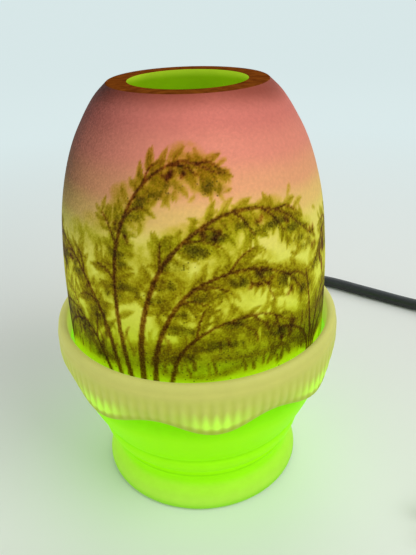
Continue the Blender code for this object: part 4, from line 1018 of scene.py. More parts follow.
# Foot and bowl from the underside up: radius and height in mm
FOOT_LINE = (
    (41.25, 1.35), (41.7, 0.75), (42.3, 0.55), (42.8, 0.85), (43.0, 1.7), (42.75, 3.3), (41.5, 6.4),
    (40.0, 9.4), (39.2, 12.2), (39.25, 14.2), (39.85, 15.6), (40.6, 17.0), (40.95, 18.1),
    (40.85, 18.9), (40.6, 19.5), (41.0, 20.2), (42.1, 21.2), (43.15, 22.6), (43.75, 24.4),
    (44.0, 26.2), (43.95, 27.6), (43.85, 28.6), (44.35, 29.6), (45.4, 31.2), (46.9, 34.2),
    (48.6, 38.0), (50.4, 42.4), (51.8, 46.6), (52.75, 51.4), (53.0, 55.3),
)
# Height in mm of the painted shade line along the crease under the bowl
CREASE_HEIGHT = 28.6
# Up the collar: share of its height, inset in lobe depths, and share of the lobes' wave
COLLAR_SHARES = (
    (0.0, -1.5, 1.0), (0.04, -0.85, 1.0), (0.10, -0.5, 1.0), (0.28, -0.25, 0.7),
    (0.50, -0.06, 0.25), (0.75, 0.0, 0.05), (1.0, 0.0, 0.0),
)
TUCK_SHARES = (0.3, 0.7)
LIP_MIDDLE = (LIP_INNER + LIP_OUTER) / 2
LIP_LINE = (
    (LIP_OUTER + 0.0003, SHOULDER + 0.0004), (LIP_OUTER + 0.0000, SHOULDER + 0.0012),
    (LIP_OUTER - 0.0001, COLLAR_TOP - 0.0018), (LIP_OUTER - 0.0006, COLLAR_TOP - 0.0006),
    (LIP_MIDDLE + 0.0005, COLLAR_TOP - 0.00005), (LIP_MIDDLE - 0.0006, COLLAR_TOP - 0.00005),
    (LIP_INNER + 0.0002, COLLAR_TOP - 0.0007), (LIP_INNER, COLLAR_TOP - 0.0018),
    (LIP_INNER, LEDGE_HEIGHT + 0.0012),
)
# Inside the bowl and under its floor: share of the height, and share of the radius
INSIDE_SHARES = (
    (1.0, 1.0), (0.63, 1.0), (0.50, 0.985), (0.36, 0.935), (0.20, 0.855), (0.08, 0.76),
    (0.02, 0.64), (0.0, 0.505),
)
HOLLOW_SHARES = ((1.0, 0.30), (1.0, 0.60), (0.92, 0.71), (0.75, 0.775), (0.40, 0.815), (0.0, 0.86))


def foot_reach(height):
    """The foot's outside radius at a height."""
    line = np.array(FOOT_LINE[2:]) * MM
    return np.interp(height, line[:, 1], line[:, 0])


def add_collar(form):
    """The collar's scalloped, ribbed rings, up from the bowl; its number of points."""
    first = form.starts()[-1]
    angle = bearings(BASE_FINE) - LOBE_AZIMUTH
    wave = np.cos(LOBES * angle)
    ribs = (0.5 + 0.5 * np.cos(RIBS * angle)) ** 0.75 - 0.55
    tall, edge = SHOULDER - COLLAR_EDGE, COLLAR_EDGE + 0.0001
    scale = (tall, LOBE_DEPTH, LOBE_DEPTH)
    collar = evenly(catmull(COLLAR_SHARES, 6) * scale, 38) / scale
    reach = COLLAR_RADIUS - 0.3 * RIB_DEPTH
    tuck = reach + LOBE_DEPTH * collar[0][1] + LOBE_FLARE * wave - BOWL_HIGH
    form.ring(BOWL_HIGH, edge, BASE_FINE)
    for share in TUCK_SHARES:
        form.ring(BOWL_HIGH + tuck * share, edge - LOBE_DEPTH * wave * share, BASE_FINE)
    for share, inset, lobes in collar:
        strength = RIB_DEPTH * unit((1.0 - share) / 0.35) * unit((share - 0.10) / 0.14)
        radius = reach + LOBE_DEPTH * inset + LOBE_FLARE * wave * lobes + strength * ribs
        form.ring(radius, COLLAR_EDGE + tall * share - LOBE_DEPTH * wave * lobes, BASE_FINE, 1)
    return slice(first, form.starts()[-1])


def paint_collar(mesh, points, fine):
    """Paint the lobes' glow, a painted highlight along the rib tops, and the hem on the collar's
    rings.
    """
    x, y, height = points[fine].T
    angle = np.arctan2(y, x) - LOBE_AZIMUTH
    on_lobe, crest = 0.5 + 0.5 * np.cos(LOBES * angle), 0.5 + 0.5 * np.cos(RIBS * angle)
    above = (height - (COLLAR_EDGE - LOBE_DEPTH * np.cos(LOBES * angle))) / MM
    lens = unit((above - 2.9) / 1.5) * unit((9.0 + 2.6 * crest - above) / 5.0)
    ribbed = unit((SHOULDER - height) / 5 / MM) * unit(above / 1.5)
    layers = {
        "glow": unit(on_lobe**1.8 * lens * (0.70 + 0.32 * crest)),
        # Painted highlight along the rib tops in the ribbed band
        "rib_top_highlight": ribbed * crest,
        "hem": unit((3.8 - above) / 2.0),
    }
    for name, values in layers.items():
        full = np.zeros(len(points))
        full[fine] = values
        paint(mesh, name, full)


def paint_creases(mesh, outside):
    """Paint how sharply the foot and bowl turn, as painted shade in the hollows above 0 and painted
    highlight on the bulges below.
    """
    radii, heights = outside[:, 0] / MM, outside[:, 1] / MM
    slope = np.unwrap(np.arctan2(np.gradient(heights), np.gradient(radii)))
    bend = np.convolve(np.gradient(slope), (0.12, 0.22, 0.32, 0.22, 0.12), "same")
    # Painted shade line along the crease under the bowl
    crease = 0.62 * np.exp(-(((heights - CREASE_HEIGHT) / 0.9) ** 2))
    bend = np.maximum(bend * 3.4, crease + np.minimum(bend, 0))
    curve = np.zeros(len(mesh.vertices))
    curve[: len(outside) * BASE_COARSE] = np.repeat(np.clip(bend, -1, 1), BASE_COARSE)
    paint(mesh, "crease_shade_and_highlight", curve)


def make_base():
    """The pressed base: foot, beads, bowl, ledge and ribbed, scalloped collar in satin glass."""
    outside = evenly(catmull(np.array(FOOT_LINE) * MM, 8), 110)
    form = Skin().turned(outside, BASE_COARSE)
    fine = add_collar(form)
    form.turned(evenly(catmull(LIP_LINE), 30), BASE_COARSE, 1)
    deep, foot_deep = LEDGE_HEIGHT - FLOOR_HEIGHT, FLOOR_UNDERSIDE - RIM_BOTTOM
    inside = [(LEDGE_RADIUS * r, FLOOR_HEIGHT + deep * h) for h, r in INSIDE_SHARES]
    ledge = rounded([LIP_LINE[-1], (LIP_INNER, LEDGE_HEIGHT), inside[0], inside[1]], 0.5 * MM)
    hole = ((STEM_HOLE, FLOOR_HEIGHT), (STEM_HOLE, FLOOR_UNDERSIDE))
    hollow = [(FOOT_RADIUS * r, RIM_BOTTOM + foot_deep * h) for h, r in HOLLOW_SHARES]
    bowl = evenly(catmull(inside[1:]), 26)[1:]
    for line in (ledge[1:-1], bowl, hole, evenly(catmull(hollow), 30)):
        form.turned(line, BASE_COARSE, 2)
    mesh = form.build("base_glass_bowl")
    paint_collar(mesh, np.vstack(form.loops), fine)
    paint_creases(mesh, outside)
    made = mesh_object("base_glass_bowl", mesh, lime_glass(), collar_glass(), lime_inside())
    return place(made, "base", "base_glass", "base_glass")


# Up the foot and bowl: the paler stops low on the foot's flare are a painted highlight
LIME_TONES = (
    (0.0, (168, 230, 70)), (0.08, (170, 230, 66)), (0.16, (170, 238, 54)), (0.24, (154, 246, 14)),
    (0.34, (156, 250, 8)), (0.45, (162, 252, 24)), (0.56, (152, 248, 6)), (0.8, (156, 248, 14)),
    (1.0, (132, 232, 1)),
)
COLLAR_TONES = (
    (0.0, (170, 202, 50)), (0.35, (184, 202, 72)), (0.62, (194, 202, 88)), (0.85, (206, 206, 106)),
    (1.0, (208, 208, 110)),
)


def lime_glass():
    """Foot, beads and bowl: vivid lime above the foot, paler on the foot's flare as a painted
    highlight, with painted shade in hollows and painted highlights on bulges.
    """
    finish = Finish("satin_lime", 0.46, specular=0.03)
    level = finish.span(finish.height(), 0.0, COLLAR_EDGE)
    tone = finish.ramp(finish.drift(level, 30, 2, 0.05), LIME_TONES)
    crease_shading = finish.attribute("crease_shade_and_highlight", "Fac")
    # Painted shade in the hollows, darker green, and painted highlight on the bulges, paler
    tone = finish.mix(finish.span(crease_shading, 0.1, 0.7, 0.0, 0.45), tone, lin(104, 196, 0))
    tone = finish.mix(finish.span(crease_shading, -0.08, -0.7, 0.0, 0.35), tone, lin(186, 252, 78))
    tone = finish.shade_by(tone, finish.noise(260, 3), 0.97, 1.03)
    finish.grain(2200, 2, 0.05, 0.5)
    return finish.lit(tone, 0.58, 0.54)


def collar_glass():
    """The thick collar: cream above, ribbed with a painted highlight along each rib top, lime light
    low on each lobe, and a darker hem.
    """
    finish = Finish("satin_collar", 0.52, specular=0.2)
    tone = finish.ramp(finish.span(finish.height(), COLLAR_EDGE - 0.002, COLLAR_TOP), COLLAR_TONES)
    rib_top_light = finish.span(finish.attribute("rib_top_highlight", "Fac"), 0.0, 1.0)
    # Painted highlight: paler along each rib top
    tone = finish.mix(finish.maths("MULTIPLY", rib_top_light, 0.36), tone, lin(216, 222, 116))
    hem = finish.maths("MULTIPLY", finish.attribute("hem", "Fac"), 0.55)
    tone = finish.mix(hem, tone, lin(160, 188, 40))
    tone = finish.mix(finish.attribute("glow", "Fac"), tone, lin(190, 255, 70))
    tone = finish.shade_by(tone, finish.noise(180, 3), 0.97, 1.03)
    finish.grain(2000, 2, 0.05, 0.5)
    extra = finish.span(finish.attribute("glow", "Fac"), 0.0, 1.0, 1.0, 1.5)
    return finish.lit(tone, 0.58, 0.42, extra)


def lime_inside():
    """The bowl's inside and the hollow foot."""
    finish = Finish("lime_inside", 0.4, specular=0.4)
    level = finish.span(finish.height(), FLOOR_UNDERSIDE, LEDGE_HEIGHT)
    tone = finish.ramp(level, ((0.0, (140, 222, 16)), (1.0, (164, 244, 30))))
    tone = finish.shade_by(tone, finish.noise(70, 3), 0.92, 1.06)
    finish.grain(600, 2, 0.05, 0.5)
    return finish.lit(tone, 0.58, 0.42)


# Small pieces in the foot, in the lamp and on the cord

EXIT_HEIGHT = 0.0105
ONTO_Y = Matrix.Translation((0, 0, EXIT_HEIGHT)) @ Matrix.Rotation(math.radians(-90), 4, "X")


def moulded(name, low, high, roughness, scale=1400, depth=0.04):
    """A moulded plastic or rubber finish with fine texture and slight wear."""
    finish = Finish(name, roughness, specular=0.45)
    tone = finish.tones(finish.noise(scale, 3), low, high)
    finish.set(Base_Color=finish.shade_by(tone, finish.noise(45, 4), 0.85, 1.12))
    finish.set(Roughness=finish.vary(finish.noise(160, 3), roughness - 0.07, roughness + 0.07))
    finish.grain(scale * 2, 2, depth, 0.6)
    return finish


def metal(name, low, high, roughness, stretch=(1, 1, 6)):
    """A drawn or turned metal with brush lines and light tarnish."""
    finish = Finish(name, roughness, metallic=1.0)
    brush = finish.noise(700, 4, stretch=stretch)
    tone = finish.tones(finish.noise(60, 4), low, high)
    finish.set(Base_Color=finish.shade_by(tone, brush, 0.9, 1.06))
    finish.set(Roughness=finish.vary(brush, roughness - 0.06, roughness + 0.1))
    finish.bump(brush, 0.015 * MM, 0.5)
    return finish


def clear_glass(name, tone, roughness, transmission, ior, ripple):
    """A clear glass with faint ripples."""
    finish = Finish(name, roughness)
    finish.set(Base_Color=(*lin(*tone), 1), Transmission_Weight=transmission, IOR=ior)
    finish.grain(*ripple)
    return finish


def in_mm(line):
    """An outline written in mm."""
    return np.array(line, float) * MM


def upright(ring, across):
    """A ring of points in the XZ plane, at a place along Y, in mm."""
    return np.stack([ring[:, 0], np.full(len(ring), across), ring[:, 1]], 1) * MM


# Boot, in mm along the cord from the lamp's axis
BARREL, FLANGE, BOOT_BORE, BOOT_INNER_END = 5.1, 7.6, 3.72, 32.2
FLANGE_LINE = ((7.6, 45.4), (7.5, 45.75), (7.2, 46.0), (6.4, 46.05), (6.0, 46.35))
SLEEVE_START, SLEEVE_END = 46.8, 69.6
GROOVES_START, GROOVES_END, GROOVE_PITCH, GROOVE_DEPTH = 47.6, 66.2, 3.1, 0.55


def on_foot(radius, angle):
    """How far out the foot's wall is, round a circle about the cord's exit."""
    across = radius * np.cos(angle)
    return np.sqrt(foot_reach(EXIT_HEIGHT - radius * np.sin(angle)) ** 2 - across**2)


def grooves(along, start, end, pitch):
    """The depth from 0 to 1 of round grooves between two ends."""
    if not start < along < end:
        return 0.0
    return 0.5 - 0.5 * math.cos(FULL_TURN * (along - start) / pitch)


def make_boot():
    """The cord's rubber boot: barrel, flange on the glass, and a tapered, grooved sleeve."""
    form = Skin()
    count = 72
    angle = bearings(count)
    form.ring(BARREL * MM, BOOT_INNER_END * MM, count)
    for radius in np.linspace(BARREL, 7.35, 6) * MM:
        form.ring(radius, on_foot(radius, angle) + 0.12 * MM, count)
    seat = on_foot(FLANGE * MM, angle)
    form.ring(FLANGE * MM, seat + 0.45 * MM, count)
    for radius, along in FLANGE_LINE:
        lift = seat + (0.45 + (FLANGE - radius) * 0.2) * MM
        form.ring(radius * MM, np.maximum(along * MM, lift), count)
    for share in np.linspace(0, 1, 85):
        along = SLEEVE_START + (SLEEVE_END - SLEEVE_START) * share
        groove = grooves(along, GROOVES_START, GROOVES_END, GROOVE_PITCH)
        depth = GROOVE_DEPTH * min(groove * 1.8, 1.0)
        form.ring((5.75 - 1.1 * share - depth * (1 - 0.35 * share)) * MM, along * MM, count)
    bore = ((4.45, 69.95), (3.9, 69.95), (BOOT_BORE, SLEEVE_END), (BOOT_BORE, BOOT_INNER_END))
    form.turned(in_mm(bore), count)
    finish = moulded("boot_rubber_skin", (26, 27, 27), (40, 41, 41), 0.62)
    return form.put("boot", finish, "boot_rubber", "cord_boot", turn=ONTO_Y)


FELT_LINE = (
    (40.8, 0.05), (41.0, 0.3), (41.0, 0.9), (40.7, 1.15), (37.1, 1.15), (36.8, 0.9), (36.8, 0.3),
    (37.0, 0.05),
)


def make_felt():
    """The felt ring under the foot, with soft edges and a fibrous top."""
    form = Skin()
    random = np.random.default_rng(3)
    count = 240
    for radius, height in FELT_LINE:
        form.ring((radius + random.uniform(-0.06, 0.0, count)) * MM, height * MM, count)
    finish = Finish("felt_skin", 0.95, specular=0.1)
    fibres = finish.noise(1800, 5, distortion=1.5)
    finish.set(Base_Color=finish.tones(fibres, (44, 62, 40), (84, 104, 74)))
    finish.set(Sheen_Weight=0.4, Sheen_Roughness=0.5)
    finish.bump(fibres, 0.15 * MM, 0.8)
    form.put("felt_pad", finish, "felt", "felt_ring")


BULB_FOOT, BULB_TALL, BULB_RADIUS, BULB_WALL = 63.9 * MM, 38 * MM, 11 * MM, 0.5 * MM
BULB_SHARES = (
    (0, 0.50), (0.03, 0.50), (0.07, 0.51), (0.17, 0.65), (0.30, 0.87), (0.42, 0.98), (0.52, 1),
    (0.63, 0.94), (0.74, 0.79), (0.85, 0.55), (0.94, 0.28), (0.985, 0.10), (1, 0.02),
)
CAP_LOW, CAP_HIGH, THREAD_PITCH = 50.85 * MM, 63.55 * MM, 2.2 * MM
# Filament, in mm: its leads from the stem, half its length, its height and the coil's radius
LEADS = ((0.9, 76.2), (1.6, 78.6))
FILAMENT_HALF, FILAMENT_HEIGHT, COIL_WIDTH, COIL_TURNS, COIL_BITS = 3.4, 83.7, 0.42, 20, 240


def make_bulb():
    """The clear envelope and the threaded cap."""
    line = catmull([(BULB_RADIUS * r, BULB_FOOT + BULB_TALL * h) for h, r in BULB_SHARES], 6)
    line = evenly(np.maximum(line, (0.0001, 0)), 46)
    tip = BULB_FOOT + BULB_TALL - BULB_WALL
    inside = np.maximum(line[::-1] - (BULB_WALL, 0), (0.00005, 0))
    form = Skin().turned(line, 72).turned(np.minimum(inside, (BULB_RADIUS, tip)), 72)
    glass = clear_glass("bulb_clear", (255, 250, 238), 0.03, 1.0, 1.45, (120, 2, 0.02, 0.3))
    glass.set(Emission_Color=(*lin(255, 238, 190), 1), Emission_Strength=0.22)
    form.put("bulb_glass_envelope", glass, "bulb_glass", "bulb_envelope", body="bulb")
    form = Skin()
    count = 72
    form.ring(3.2 * MM, CAP_LOW, count)
    for height in CAP_LOW + 0.5 * MM + (CAP_HIGH - CAP_LOW - 0.7 * MM) * np.arange(61) / 60:
        worm = 0.5 + 0.5 * np.sin(FULL_TURN * (height / THREAD_PITCH) - bearings(count))
        fade_out = max((CAP_HIGH - 2.2 * MM - height) / (1.0 * MM), 0.0)
        ends = min(1.0, (height - CAP_LOW) / (1.4 * MM), fade_out)
        form.ring((5.35 + 0.62 * ends * worm) * MM, height, count)
    form.ring(5.2 * MM, CAP_HIGH, count)
    shell = metal("cap_brass", (196, 160, 92), (214, 182, 116), 0.28)
    form.put("bulb_screw_cap", shell, "brass", "bulb_cap", body="bulb", closed=False)


def make_filament():
    """The coiled filament on its leads."""
    half, top = FILAMENT_HALF, FILAMENT_HEIGHT
    coil = [(-x, 0, z) for x, z in LEADS] + [(-half, 0, top)]
    for step in range(1, COIL_BITS):
        t = step / COIL_BITS
        turn = FULL_TURN * COIL_TURNS * t
        height = top + 0.35 * math.sin(math.pi * t) + COIL_WIDTH * math.cos(turn)
        coil.append((-half + 2 * half * t, COIL_WIDTH * math.sin(turn), height))
    coil += [(half, 0, top), *[(x, 0, z) for x, z in LEADS[::-1]]]
    wire = Finish("hot_wire", 0.5, metallic=0.6)
    glow = wire.tones(wire.noise(900, 2), (255, 214, 130), (255, 232, 170))
    wire.set(Base_Color=(*lin(220, 170, 90), 1), Emission_Color=glow, Emission_Strength=2.2)
    form = tube(in_mm(coil), 0.14 * MM, 8)
    form.put("filament_coil", wire, "filament", "bulb_filament", body="bulb", closed=False)


def tube(line, radius, sides):
    """The form of a round tube along a line."""
    form = Skin()
    along = np.gradient(line, axis=0)
    along /= np.linalg.norm(along, axis=1)[:, None]
    side = np.cross(along[0], (0.3, 0.9, 0.2))
    cos, sin = np.cos(bearings(sides))[:, None], np.sin(bearings(sides))[:, None]
    for point, way in zip(line, along):
        side = side - way * np.dot(side, way)
        side /= np.linalg.norm(side)
        form.loop(point + radius * (cos * side + sin * np.cross(way, side)))
    return form


INSULATOR_LINE = (
    (13.3, 41.9), (13.3, 52), (14.5, 52), (14.5, 54), (12, 54), (12, 63.6), (7.2, 63.6),
    (7.2, 46.9),
)
CUP_LINE = (
    (5.0, 30.75), (10.6, 30.75), (12.6, 31.4), (13.6, 33.0), (14.05, 35.4), (14.1, 39.0),
    (14.1, 44.6), (14.45, 45.3), (14.1, 46.0), (14.1, 48.6), (14.45, 49.3), (14.1, 50.0),
    (14.1, 51.0), (14.4, 51.4), (14.2, 51.68), (13.75, 51.6), (13.65, 51.0), (13.65, 36.0),
    (13.2, 33.6), (12.2, 32.0), (10.4, 31.55), (5.0, 31.55),
)


def make_socket():
    """The turned insulating body, and the spun brass cup with its beads and rolled rim."""
    form = Skin().turned(rounded(INSULATOR_LINE, 0.35) * MM, 96)
    finish = moulded("phenolic_skin", (52, 36, 30), (70, 50, 42), 0.22, 260, 0.01)
    form.put("socket_insulator", finish, "socket_phenolic", "socket_body", closed=False)
    form = Skin().turned(evenly(catmull(in_mm(CUP_LINE), 8), 130), 96)
    finish = metal("cup_brass", (186, 146, 74), (208, 172, 100), 0.26, (1, 1, 10))
    form.put("socket_shell", finish, "brass", "socket_cup")


# One conductor in mm, from the cord up to its terminal; the other mirrors it
WIRE_LEVEL, WIRE_LOW = 41.9 - 0.3 - 0.8, 12.8 - 0.3 - 2.2
WIRE_APART, TERMINAL = 1.5, 8.0 - 2.2 - 0.3
WIRE_LINE = (
    (WIRE_APART, 13.7, 10.5), (WIRE_APART, 11.8, 10.5), (WIRE_APART, 7.0, WIRE_LOW),
    (WIRE_APART, 3.0, WIRE_LOW - 0.55), (WIRE_APART, 0.275, WIRE_LOW + 1.1),
    (WIRE_APART, 0, 17.0), (WIRE_APART, 0, 27.0), (WIRE_APART, 0, 36.4),
    (WIRE_APART + 0.55, 0, WIRE_LEVEL - 1.1), (TERMINAL - 1.1, 0, WIRE_LEVEL),
    (TERMINAL, 0, WIRE_LEVEL),
)


def make_wires():
    """The two conductors up through the nipple to their terminals."""
    for side, use, colour, low, high in (
        (1, "line", "black", (24, 24, 25), (38, 38, 39)),
        (-1, "neutral", "white", (196, 195, 186), (214, 213, 205)),
    ):
        finish = moulded("wire_jacket_" + colour, low, high, 0.45)
        line = evenly(catmull(in_mm(WIRE_LINE) * (side, 1, 1), 8), 90)
        form = tube(line, 1.02 * MM, 14)
        form.put("lamp_wire_" + use, finish, "wire_" + colour, "wire_" + use, closed=False)


SWITCH_TURN = (
    Matrix.Translation((0.1740, 0.0823, 0))
    @ Matrix.Rotation(math.radians(-36), 4, "Z")
    @ Matrix.Translation((0.031, 0, 0))
)
ROCKER_TURN = (
    SWITCH_TURN @ Matrix.Translation((0, 0, 0.0141)) @ Matrix.Rotation(math.radians(-11), 4, "Y")
)
# Switch, in mm: half its plan, half its window, and each ring's inset or growth and height
SWITCH_HALF_X, SWITCH_HALF_Y, WINDOW_HALF_X, WINDOW_HALF_Y, SWITCH_SIDES = 31, 12.5, 9.35, 6.2, 160
PLAN_SHARES = ((1.0, 0.42), (0.975, 0.56), (0.84, 0.84), (0.66, 0.98), (0.50, 1.0))
COVER_RINGS = (
    (0.25, 8.32), (0.02, 8.6), (0.0, 9.2), (0.0, 13.6), (0.08, 14.4), (0.35, 15.1), (0.8, 15.65),
    (1.4, 15.98), (2.2, 16.08),
)
WINDOW_RINGS = (
    (2.2, 16.08), (1.9, 16.0), (1.2, 15.55), (0.9, 15.5), (0.35, 15.5), (0.05, 15.3), (0.0, 14.9),
    (0.0, 11.6),
)
TUB_RINGS = (
    (3.2, 0.8), (2.8, 0.75), (2.5, 0.25), (1.9, 0.2), (1.2, 0.26), (0.6, 0.5), (0.18, 1.0),
    (0.0, 1.8), (0.0, 7.4), (0.06, 7.8), (0.3, 7.98), (1.7, 8.02), (1.8, 7.9), (1.8, 2.2),
    (2.0, 2.0),
)
# Rocker, in mm: half its top from the end to the middle, its underside, and how far across
ROCKER_TOP = (
    (8.45, -0.8), (8.5, 0), (8.48, 2.9), (8.2, 3.45), (7.4, 3.5), (5.2, 3.0), (2.6, 2.55), (0, 2.4),
)
ROCKER_UNDER = ((-8.2, -1.0), (-4.25, -2.6), (4.25, -2.6), (8.2, -1.0))
ROCKER_SLICES = (
    (-5.45, 0.93), (-5.5, 0.97), (-5.2, 1.0), (5.2, 1.0), (5.5, 0.97), (5.45, 0.93),
)
MARK_PLACE, MARK_HEIGHT, MARK_TILT = 5.4 * MM, 3.06 * MM, math.atan2(0.5, 2.3)


def spaced(outline, count, height, scale=(1, 1)):
    """A closed outline's points nearest to even bearings of a long box, at a height in mm."""
    fine = evenly(outline, 1200)[:-1] * scale
    bearing = np.unwrap(np.arctan2(fine[:, 1] * 2.2, fine[:, 0]))
    wanted = bearing[0] + bearings(count)
    around, fine = np.append(bearing, bearing[0] + FULL_TURN), np.vstack([fine, fine[:1]])
    x, y = np.interp(wanted, around, fine[:, 0]), np.interp(wanted, around, fine[:, 1])
    return in_mm(np.stack([x, y, np.full(count, height)], 1))


def switch_plan(inset, height):
    """The housing's outline at a height."""
    quarter = [(SWITCH_HALF_X * x, SWITCH_HALF_Y * y) for x, y in PLAN_SHARES]
    side = [*quarter, *[(-x, y) for x, y in quarter[::-1]]]
    line = [*side, *[(-x, -y) for x, y in side]]
    outline = rounded([(SWITCH_HALF_X, 0), *line, (SWITCH_HALF_X, 0)], 1.8, 4)
    shrunk = ((SWITCH_HALF_X - inset) / SWITCH_HALF_X, (SWITCH_HALF_Y - inset) / SWITCH_HALF_Y)
    return spaced(outline, SWITCH_SIDES, height, shrunk)


def window_plan(half_x, half_y, height, count=SWITCH_SIDES, corner=0.9):
    """A rounded rectangle, stepped as the housing's outline."""
    side = [(half_x, half_y), (-half_x, half_y), (-half_x, -half_y), (half_x, -half_y)]
    return spaced(rounded([(half_x, 0), *side, (half_x, 0)], corner, 5), count, height)


def make_switch():
    """The switch's upper shell with its window, and its lower tub."""
    form = Skin()
    for inset, height in COVER_RINGS:
        form.loop(switch_plan(inset, height))
    for grow, height in WINDOW_RINGS:
        form.loop(window_plan(WINDOW_HALF_X + grow, WINDOW_HALF_Y + grow, height))
    for height in (11.55, 8.4):
        form.loop(window_plan(WINDOW_HALF_X + 4.4, WINDOW_HALF_Y + 1.0, height))
    shell = moulded("switch_shell", (27, 28, 28), (40, 41, 41), 0.55, 1800)
    form.put("switch_cover", shell, "switch_plastic", "switch_upper_housing", turn=SWITCH_TURN)
    form = Skin()
    for inset, height in TUB_RINGS:
        form.loop(switch_plan(inset, height))
    nodes = ("switch_plastic", "switch_lower_housing")
    return form.put("switch_tub", shell, *nodes, closed=False, turn=SWITCH_TURN)


def make_rocker():
    """The rocker with its off and on marks."""
    top = [*ROCKER_TOP, *[(-x, z) for x, z in ROCKER_TOP[-2::-1]]]
    loop = evenly(catmull([*top, *ROCKER_UNDER, top[0]], 6), 121)[:-1]
    middle = np.array((0, 0.4))
    form = Skin()
    for across, shrink in ROCKER_SLICES:
        form.loop(upright(middle + (loop - middle) * shrink, across)[::-1])
    key = moulded("rocker_skin", (30, 31, 31), (42, 43, 43), 0.30, 2200, 0.02)
    rocker = {"body": "rocker", "closed": False}
    form.put("rocker_key", key, "rocker_plastic", "switch_rocker", turn=ROCKER_TURN, **rocker)
    ink = moulded("mark_white", (214, 214, 208), (228, 228, 222), 0.5)
    ring = Skin().turned(in_mm(((1.35, -0.1), (1.35, 0.09), (0.95, 0.09), (0.95, -0.1))), 40)
    bar = Skin()
    for grow, height in ((0.0, -0.1), (0.0, 0.07), (-0.05, 0.1)):
        bar.loop(window_plan(1.3 + grow, 0.24 + grow, height, 32, 0.1))
    for name, mark, side, closed in (("mark_off", ring, -1, True), ("mark_on", bar, 1, False)):
        turn = ROCKER_TURN @ Matrix.Translation((side * MARK_PLACE, 0, MARK_HEIGHT))
        turn = turn @ Matrix.Rotation(-side * MARK_TILT, 4, "Y")
        mark.put(name, ink, "rocker_plastic", body="rocker", closed=closed, turn=turn)


PLUG_TURN = Matrix.Translation(PLUG_START) @ Matrix.Rotation(math.pi, 4, "Z")
# Plug, in mm: place along it, and shares of its width and thickness
PLUG_SECTIONS = (
    (0.3, 0.34, 0.48), (1.0, 0.36, 0.50), (11.0, 0.42, 0.56), (17.0, 0.50, 0.63),
    (20.5, 0.60, 0.72), (23.0, 0.74, 0.83), (26.0, 0.87, 0.92), (31.0, 0.97, 1.0),
    (40.0, 1.0, 1.0), (47.5, 1.0, 1.0), (50.6, 0.985, 0.98), (51.6, 0.95, 0.94),
    (51.95, 0.90, 0.88),
)
PLUG_HALF_Y, PLUG_HALF_Z, BLADES_APART = 13, 9, 6.35
BLADE_CORNERS = (
    (69.2, 0), (69.2, 3.15), (52.35, 3.15), (52.35, -3.15), (69.2, -3.15), (69.2, 0),
)
BLADE_MIDDLE, HOLE_MIDDLE, HOLE_RADIUS, BLADE_POINTS = (60.8, 0.0), (65.0, 0.0), 1.5, 64
BLADE_SLICES = ((0.995, -0.7), (1.0, -0.6), (1.0, 0.6), (0.995, 0.7))


def squared(share, power):
    """A cosine or sine made squarer."""
    return np.sign(share) * np.abs(share) ** power


def make_plug():
    """The moulded plug with its grooved neck and finger grips."""
    count = 96
    angle = bearings(count)
    form = Skin()
    scale = (1, 30, 30)
    for along, wide, thick in evenly(catmull(PLUG_SECTIONS, 8) * scale, 150) / scale:
        neck = 0.09 * min(grooves(along, 2.2, 18.2, 3.2) * 1.6, 1)
        grip = 0.035 * grooves(along, 31.5, 44.5, 2.6)
        square = 0.62 if along > 22 else 0.8 - 0.18 * along / 22
        across, upward = squared(np.cos(angle), square), squared(np.sin(angle), square)
        pinch = 1 - neck - grip * unit((np.abs(across) - 0.55) * 4)
        y, z = across * wide * PLUG_HALF_Y * pinch, upward * thick * PLUG_HALF_Z * (1 - neck)
        form.loop(in_mm(np.stack([np.full(count, along), y, z], 1)))
    finish = moulded("plug_skin", (25, 26, 26), (38, 39, 39), 0.5)
    nodes = ("plug_plastic", "plug_body")
    return form.put("plug_moulding", finish, *nodes, closed=False, turn=PLUG_TURN)


def make_blades():
    """The plug's two drilled blades."""
    plate = metal("blade_brass", (196, 164, 98), (212, 184, 124), 0.24, (8, 1, 1))
    angle = bearings(BLADE_POINTS)
    hole = HOLE_MIDDLE + HOLE_RADIUS * np.stack([np.cos(angle), np.sin(angle)], 1)
    rim = evenly(rounded(BLADE_CORNERS, 2.0, 6), BLADE_POINTS + 1)[:-1] - BLADE_MIDDLE
    slices = [(BLADE_MIDDLE + rim * shrink, level) for shrink, level in BLADE_SLICES]
    for name, side in (("blade_left", -BLADES_APART), ("blade_right", BLADES_APART)):
        form = Skin()
        for ring, level in (*slices, (hole, 0.7), (hole, -0.7)):
            form.loop(upright(ring, side + level)[::-1])
        form.put(name, plate, "brass", "plug_" + name, turn=PLUG_TURN)


# Strap, in mm: its outline from the top, its middle, and each ring's place across and inset
STRAP_CORNERS = (
    (163, 17.05), (176.85, 17.05), (176.85, 0.25), (150.0, 0.25), (150.0, 17.05), (163, 17.05),
)
STRAP_MIDDLE, STRAP_WIDE, STRAP_TALL, STRAP_THICK = (163.4, 8.65), 26.85, 16.8, 1.6
STRAP_RINGS = ((-17.0, 0.15), (-16.9, 0), (-7.1, 0), (-7.0, 0.15))


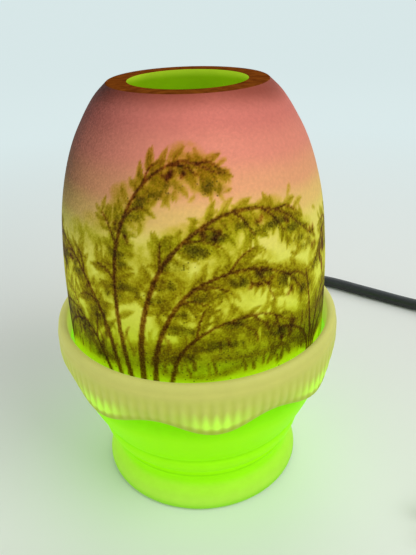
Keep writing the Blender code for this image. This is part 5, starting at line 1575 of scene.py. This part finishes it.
def make_tie():
    """The hook-and-loop strap round the coil."""
    outer = evenly(rounded(STRAP_CORNERS, 4.2, 6), 121)[:-1] - STRAP_MIDDLE
    thinner = ((STRAP_WIDE - STRAP_THICK) / STRAP_WIDE, (STRAP_TALL - STRAP_THICK) / STRAP_TALL)
    form = Skin()
    for across, inset in STRAP_RINGS:
        form.loop(upright(STRAP_MIDDLE + outer * (1 - inset / 13), across))
    for across in (-7.0, -17.0):
        form.loop(upright(STRAP_MIDDLE + outer * thinner, across))
    finish = Finish("tie_weave", 0.85, specular=0.2)
    fuzz, weave = finish.noise(1500, 4, distortion=1.0), finish.wave(420.0, "Y", 0.6)
    tone = finish.tones(fuzz, (28, 29, 30), (52, 53, 54))
    finish.set(Base_Color=finish.shade_by(tone, weave, 0.85, 1.1), Sheen_Weight=0.3)
    finish.bump(finish.maths("ADD", fuzz, finish.maths("MULTIPLY", weave, 0.6)), 0.12 * MM, 0.8)
    return form.put("coil_strap", finish, "tie", "coil_tie")


WASHER_LINE = (
    (5.4, 0.1), (5.6, 0), (12.2, 0), (12.5, 0.3), (12.5, 1.3), (12.2, 1.6), (5.6, 1.6), (5.4, 1.5),
)


def make_washers():
    """The two rubber washers with soft edges."""
    finish = moulded("washer_skin", (30, 30, 31), (46, 46, 47), 0.7)
    for side, low in (("upper", 27.3), ("lower", 20.1)):
        form = Skin().turned((np.array(WASHER_LINE) + (0, low)) * MM, 96)
        form.put(side + "_gasket", finish, "washer_rubber", side + "_rubber_washer")


def dress_solids():
    """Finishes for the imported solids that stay."""
    threaded = metal("thread_brass", (184, 146, 76), (204, 168, 100), 0.3)
    threaded.bump(threaded.wave(160.0, "Z"), 0.3 * MM, 1.0)
    stem = clear_glass("stem_clear", (236, 244, 240), 0.06, 0.9, 1.5, (300, 2, 0.02, 0.4))
    finishes = {
        "brass": metal("brass_skin", (186, 146, 76), (206, 170, 102), 0.3),
        "steel": metal("zinc_skin", (168, 170, 172), (192, 194, 196), 0.34),
        "stem_glass": stem,
    }
    for name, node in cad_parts.items():
        for slot in node.material_slots:
            kind = slot.material.name.split(".")[0]
            if name == "threaded_nipple":
                slot.material = threaded.material
            elif kind in finishes:
                slot.material = finishes[kind].material


make_camera()
make_lights()
make_world()
make_floor()
first, first_length, second, second_length = make_cords()
make_shade()
make_base()
boot = make_boot()
make_felt()
make_bulb()
make_filament()
make_socket()
make_wires()
tub = make_switch()
make_rocker()
plug = make_plug()
make_blades()
strap = make_tie()
make_washers()
dress_solids()

print("cord lengths", first_length, second_length)
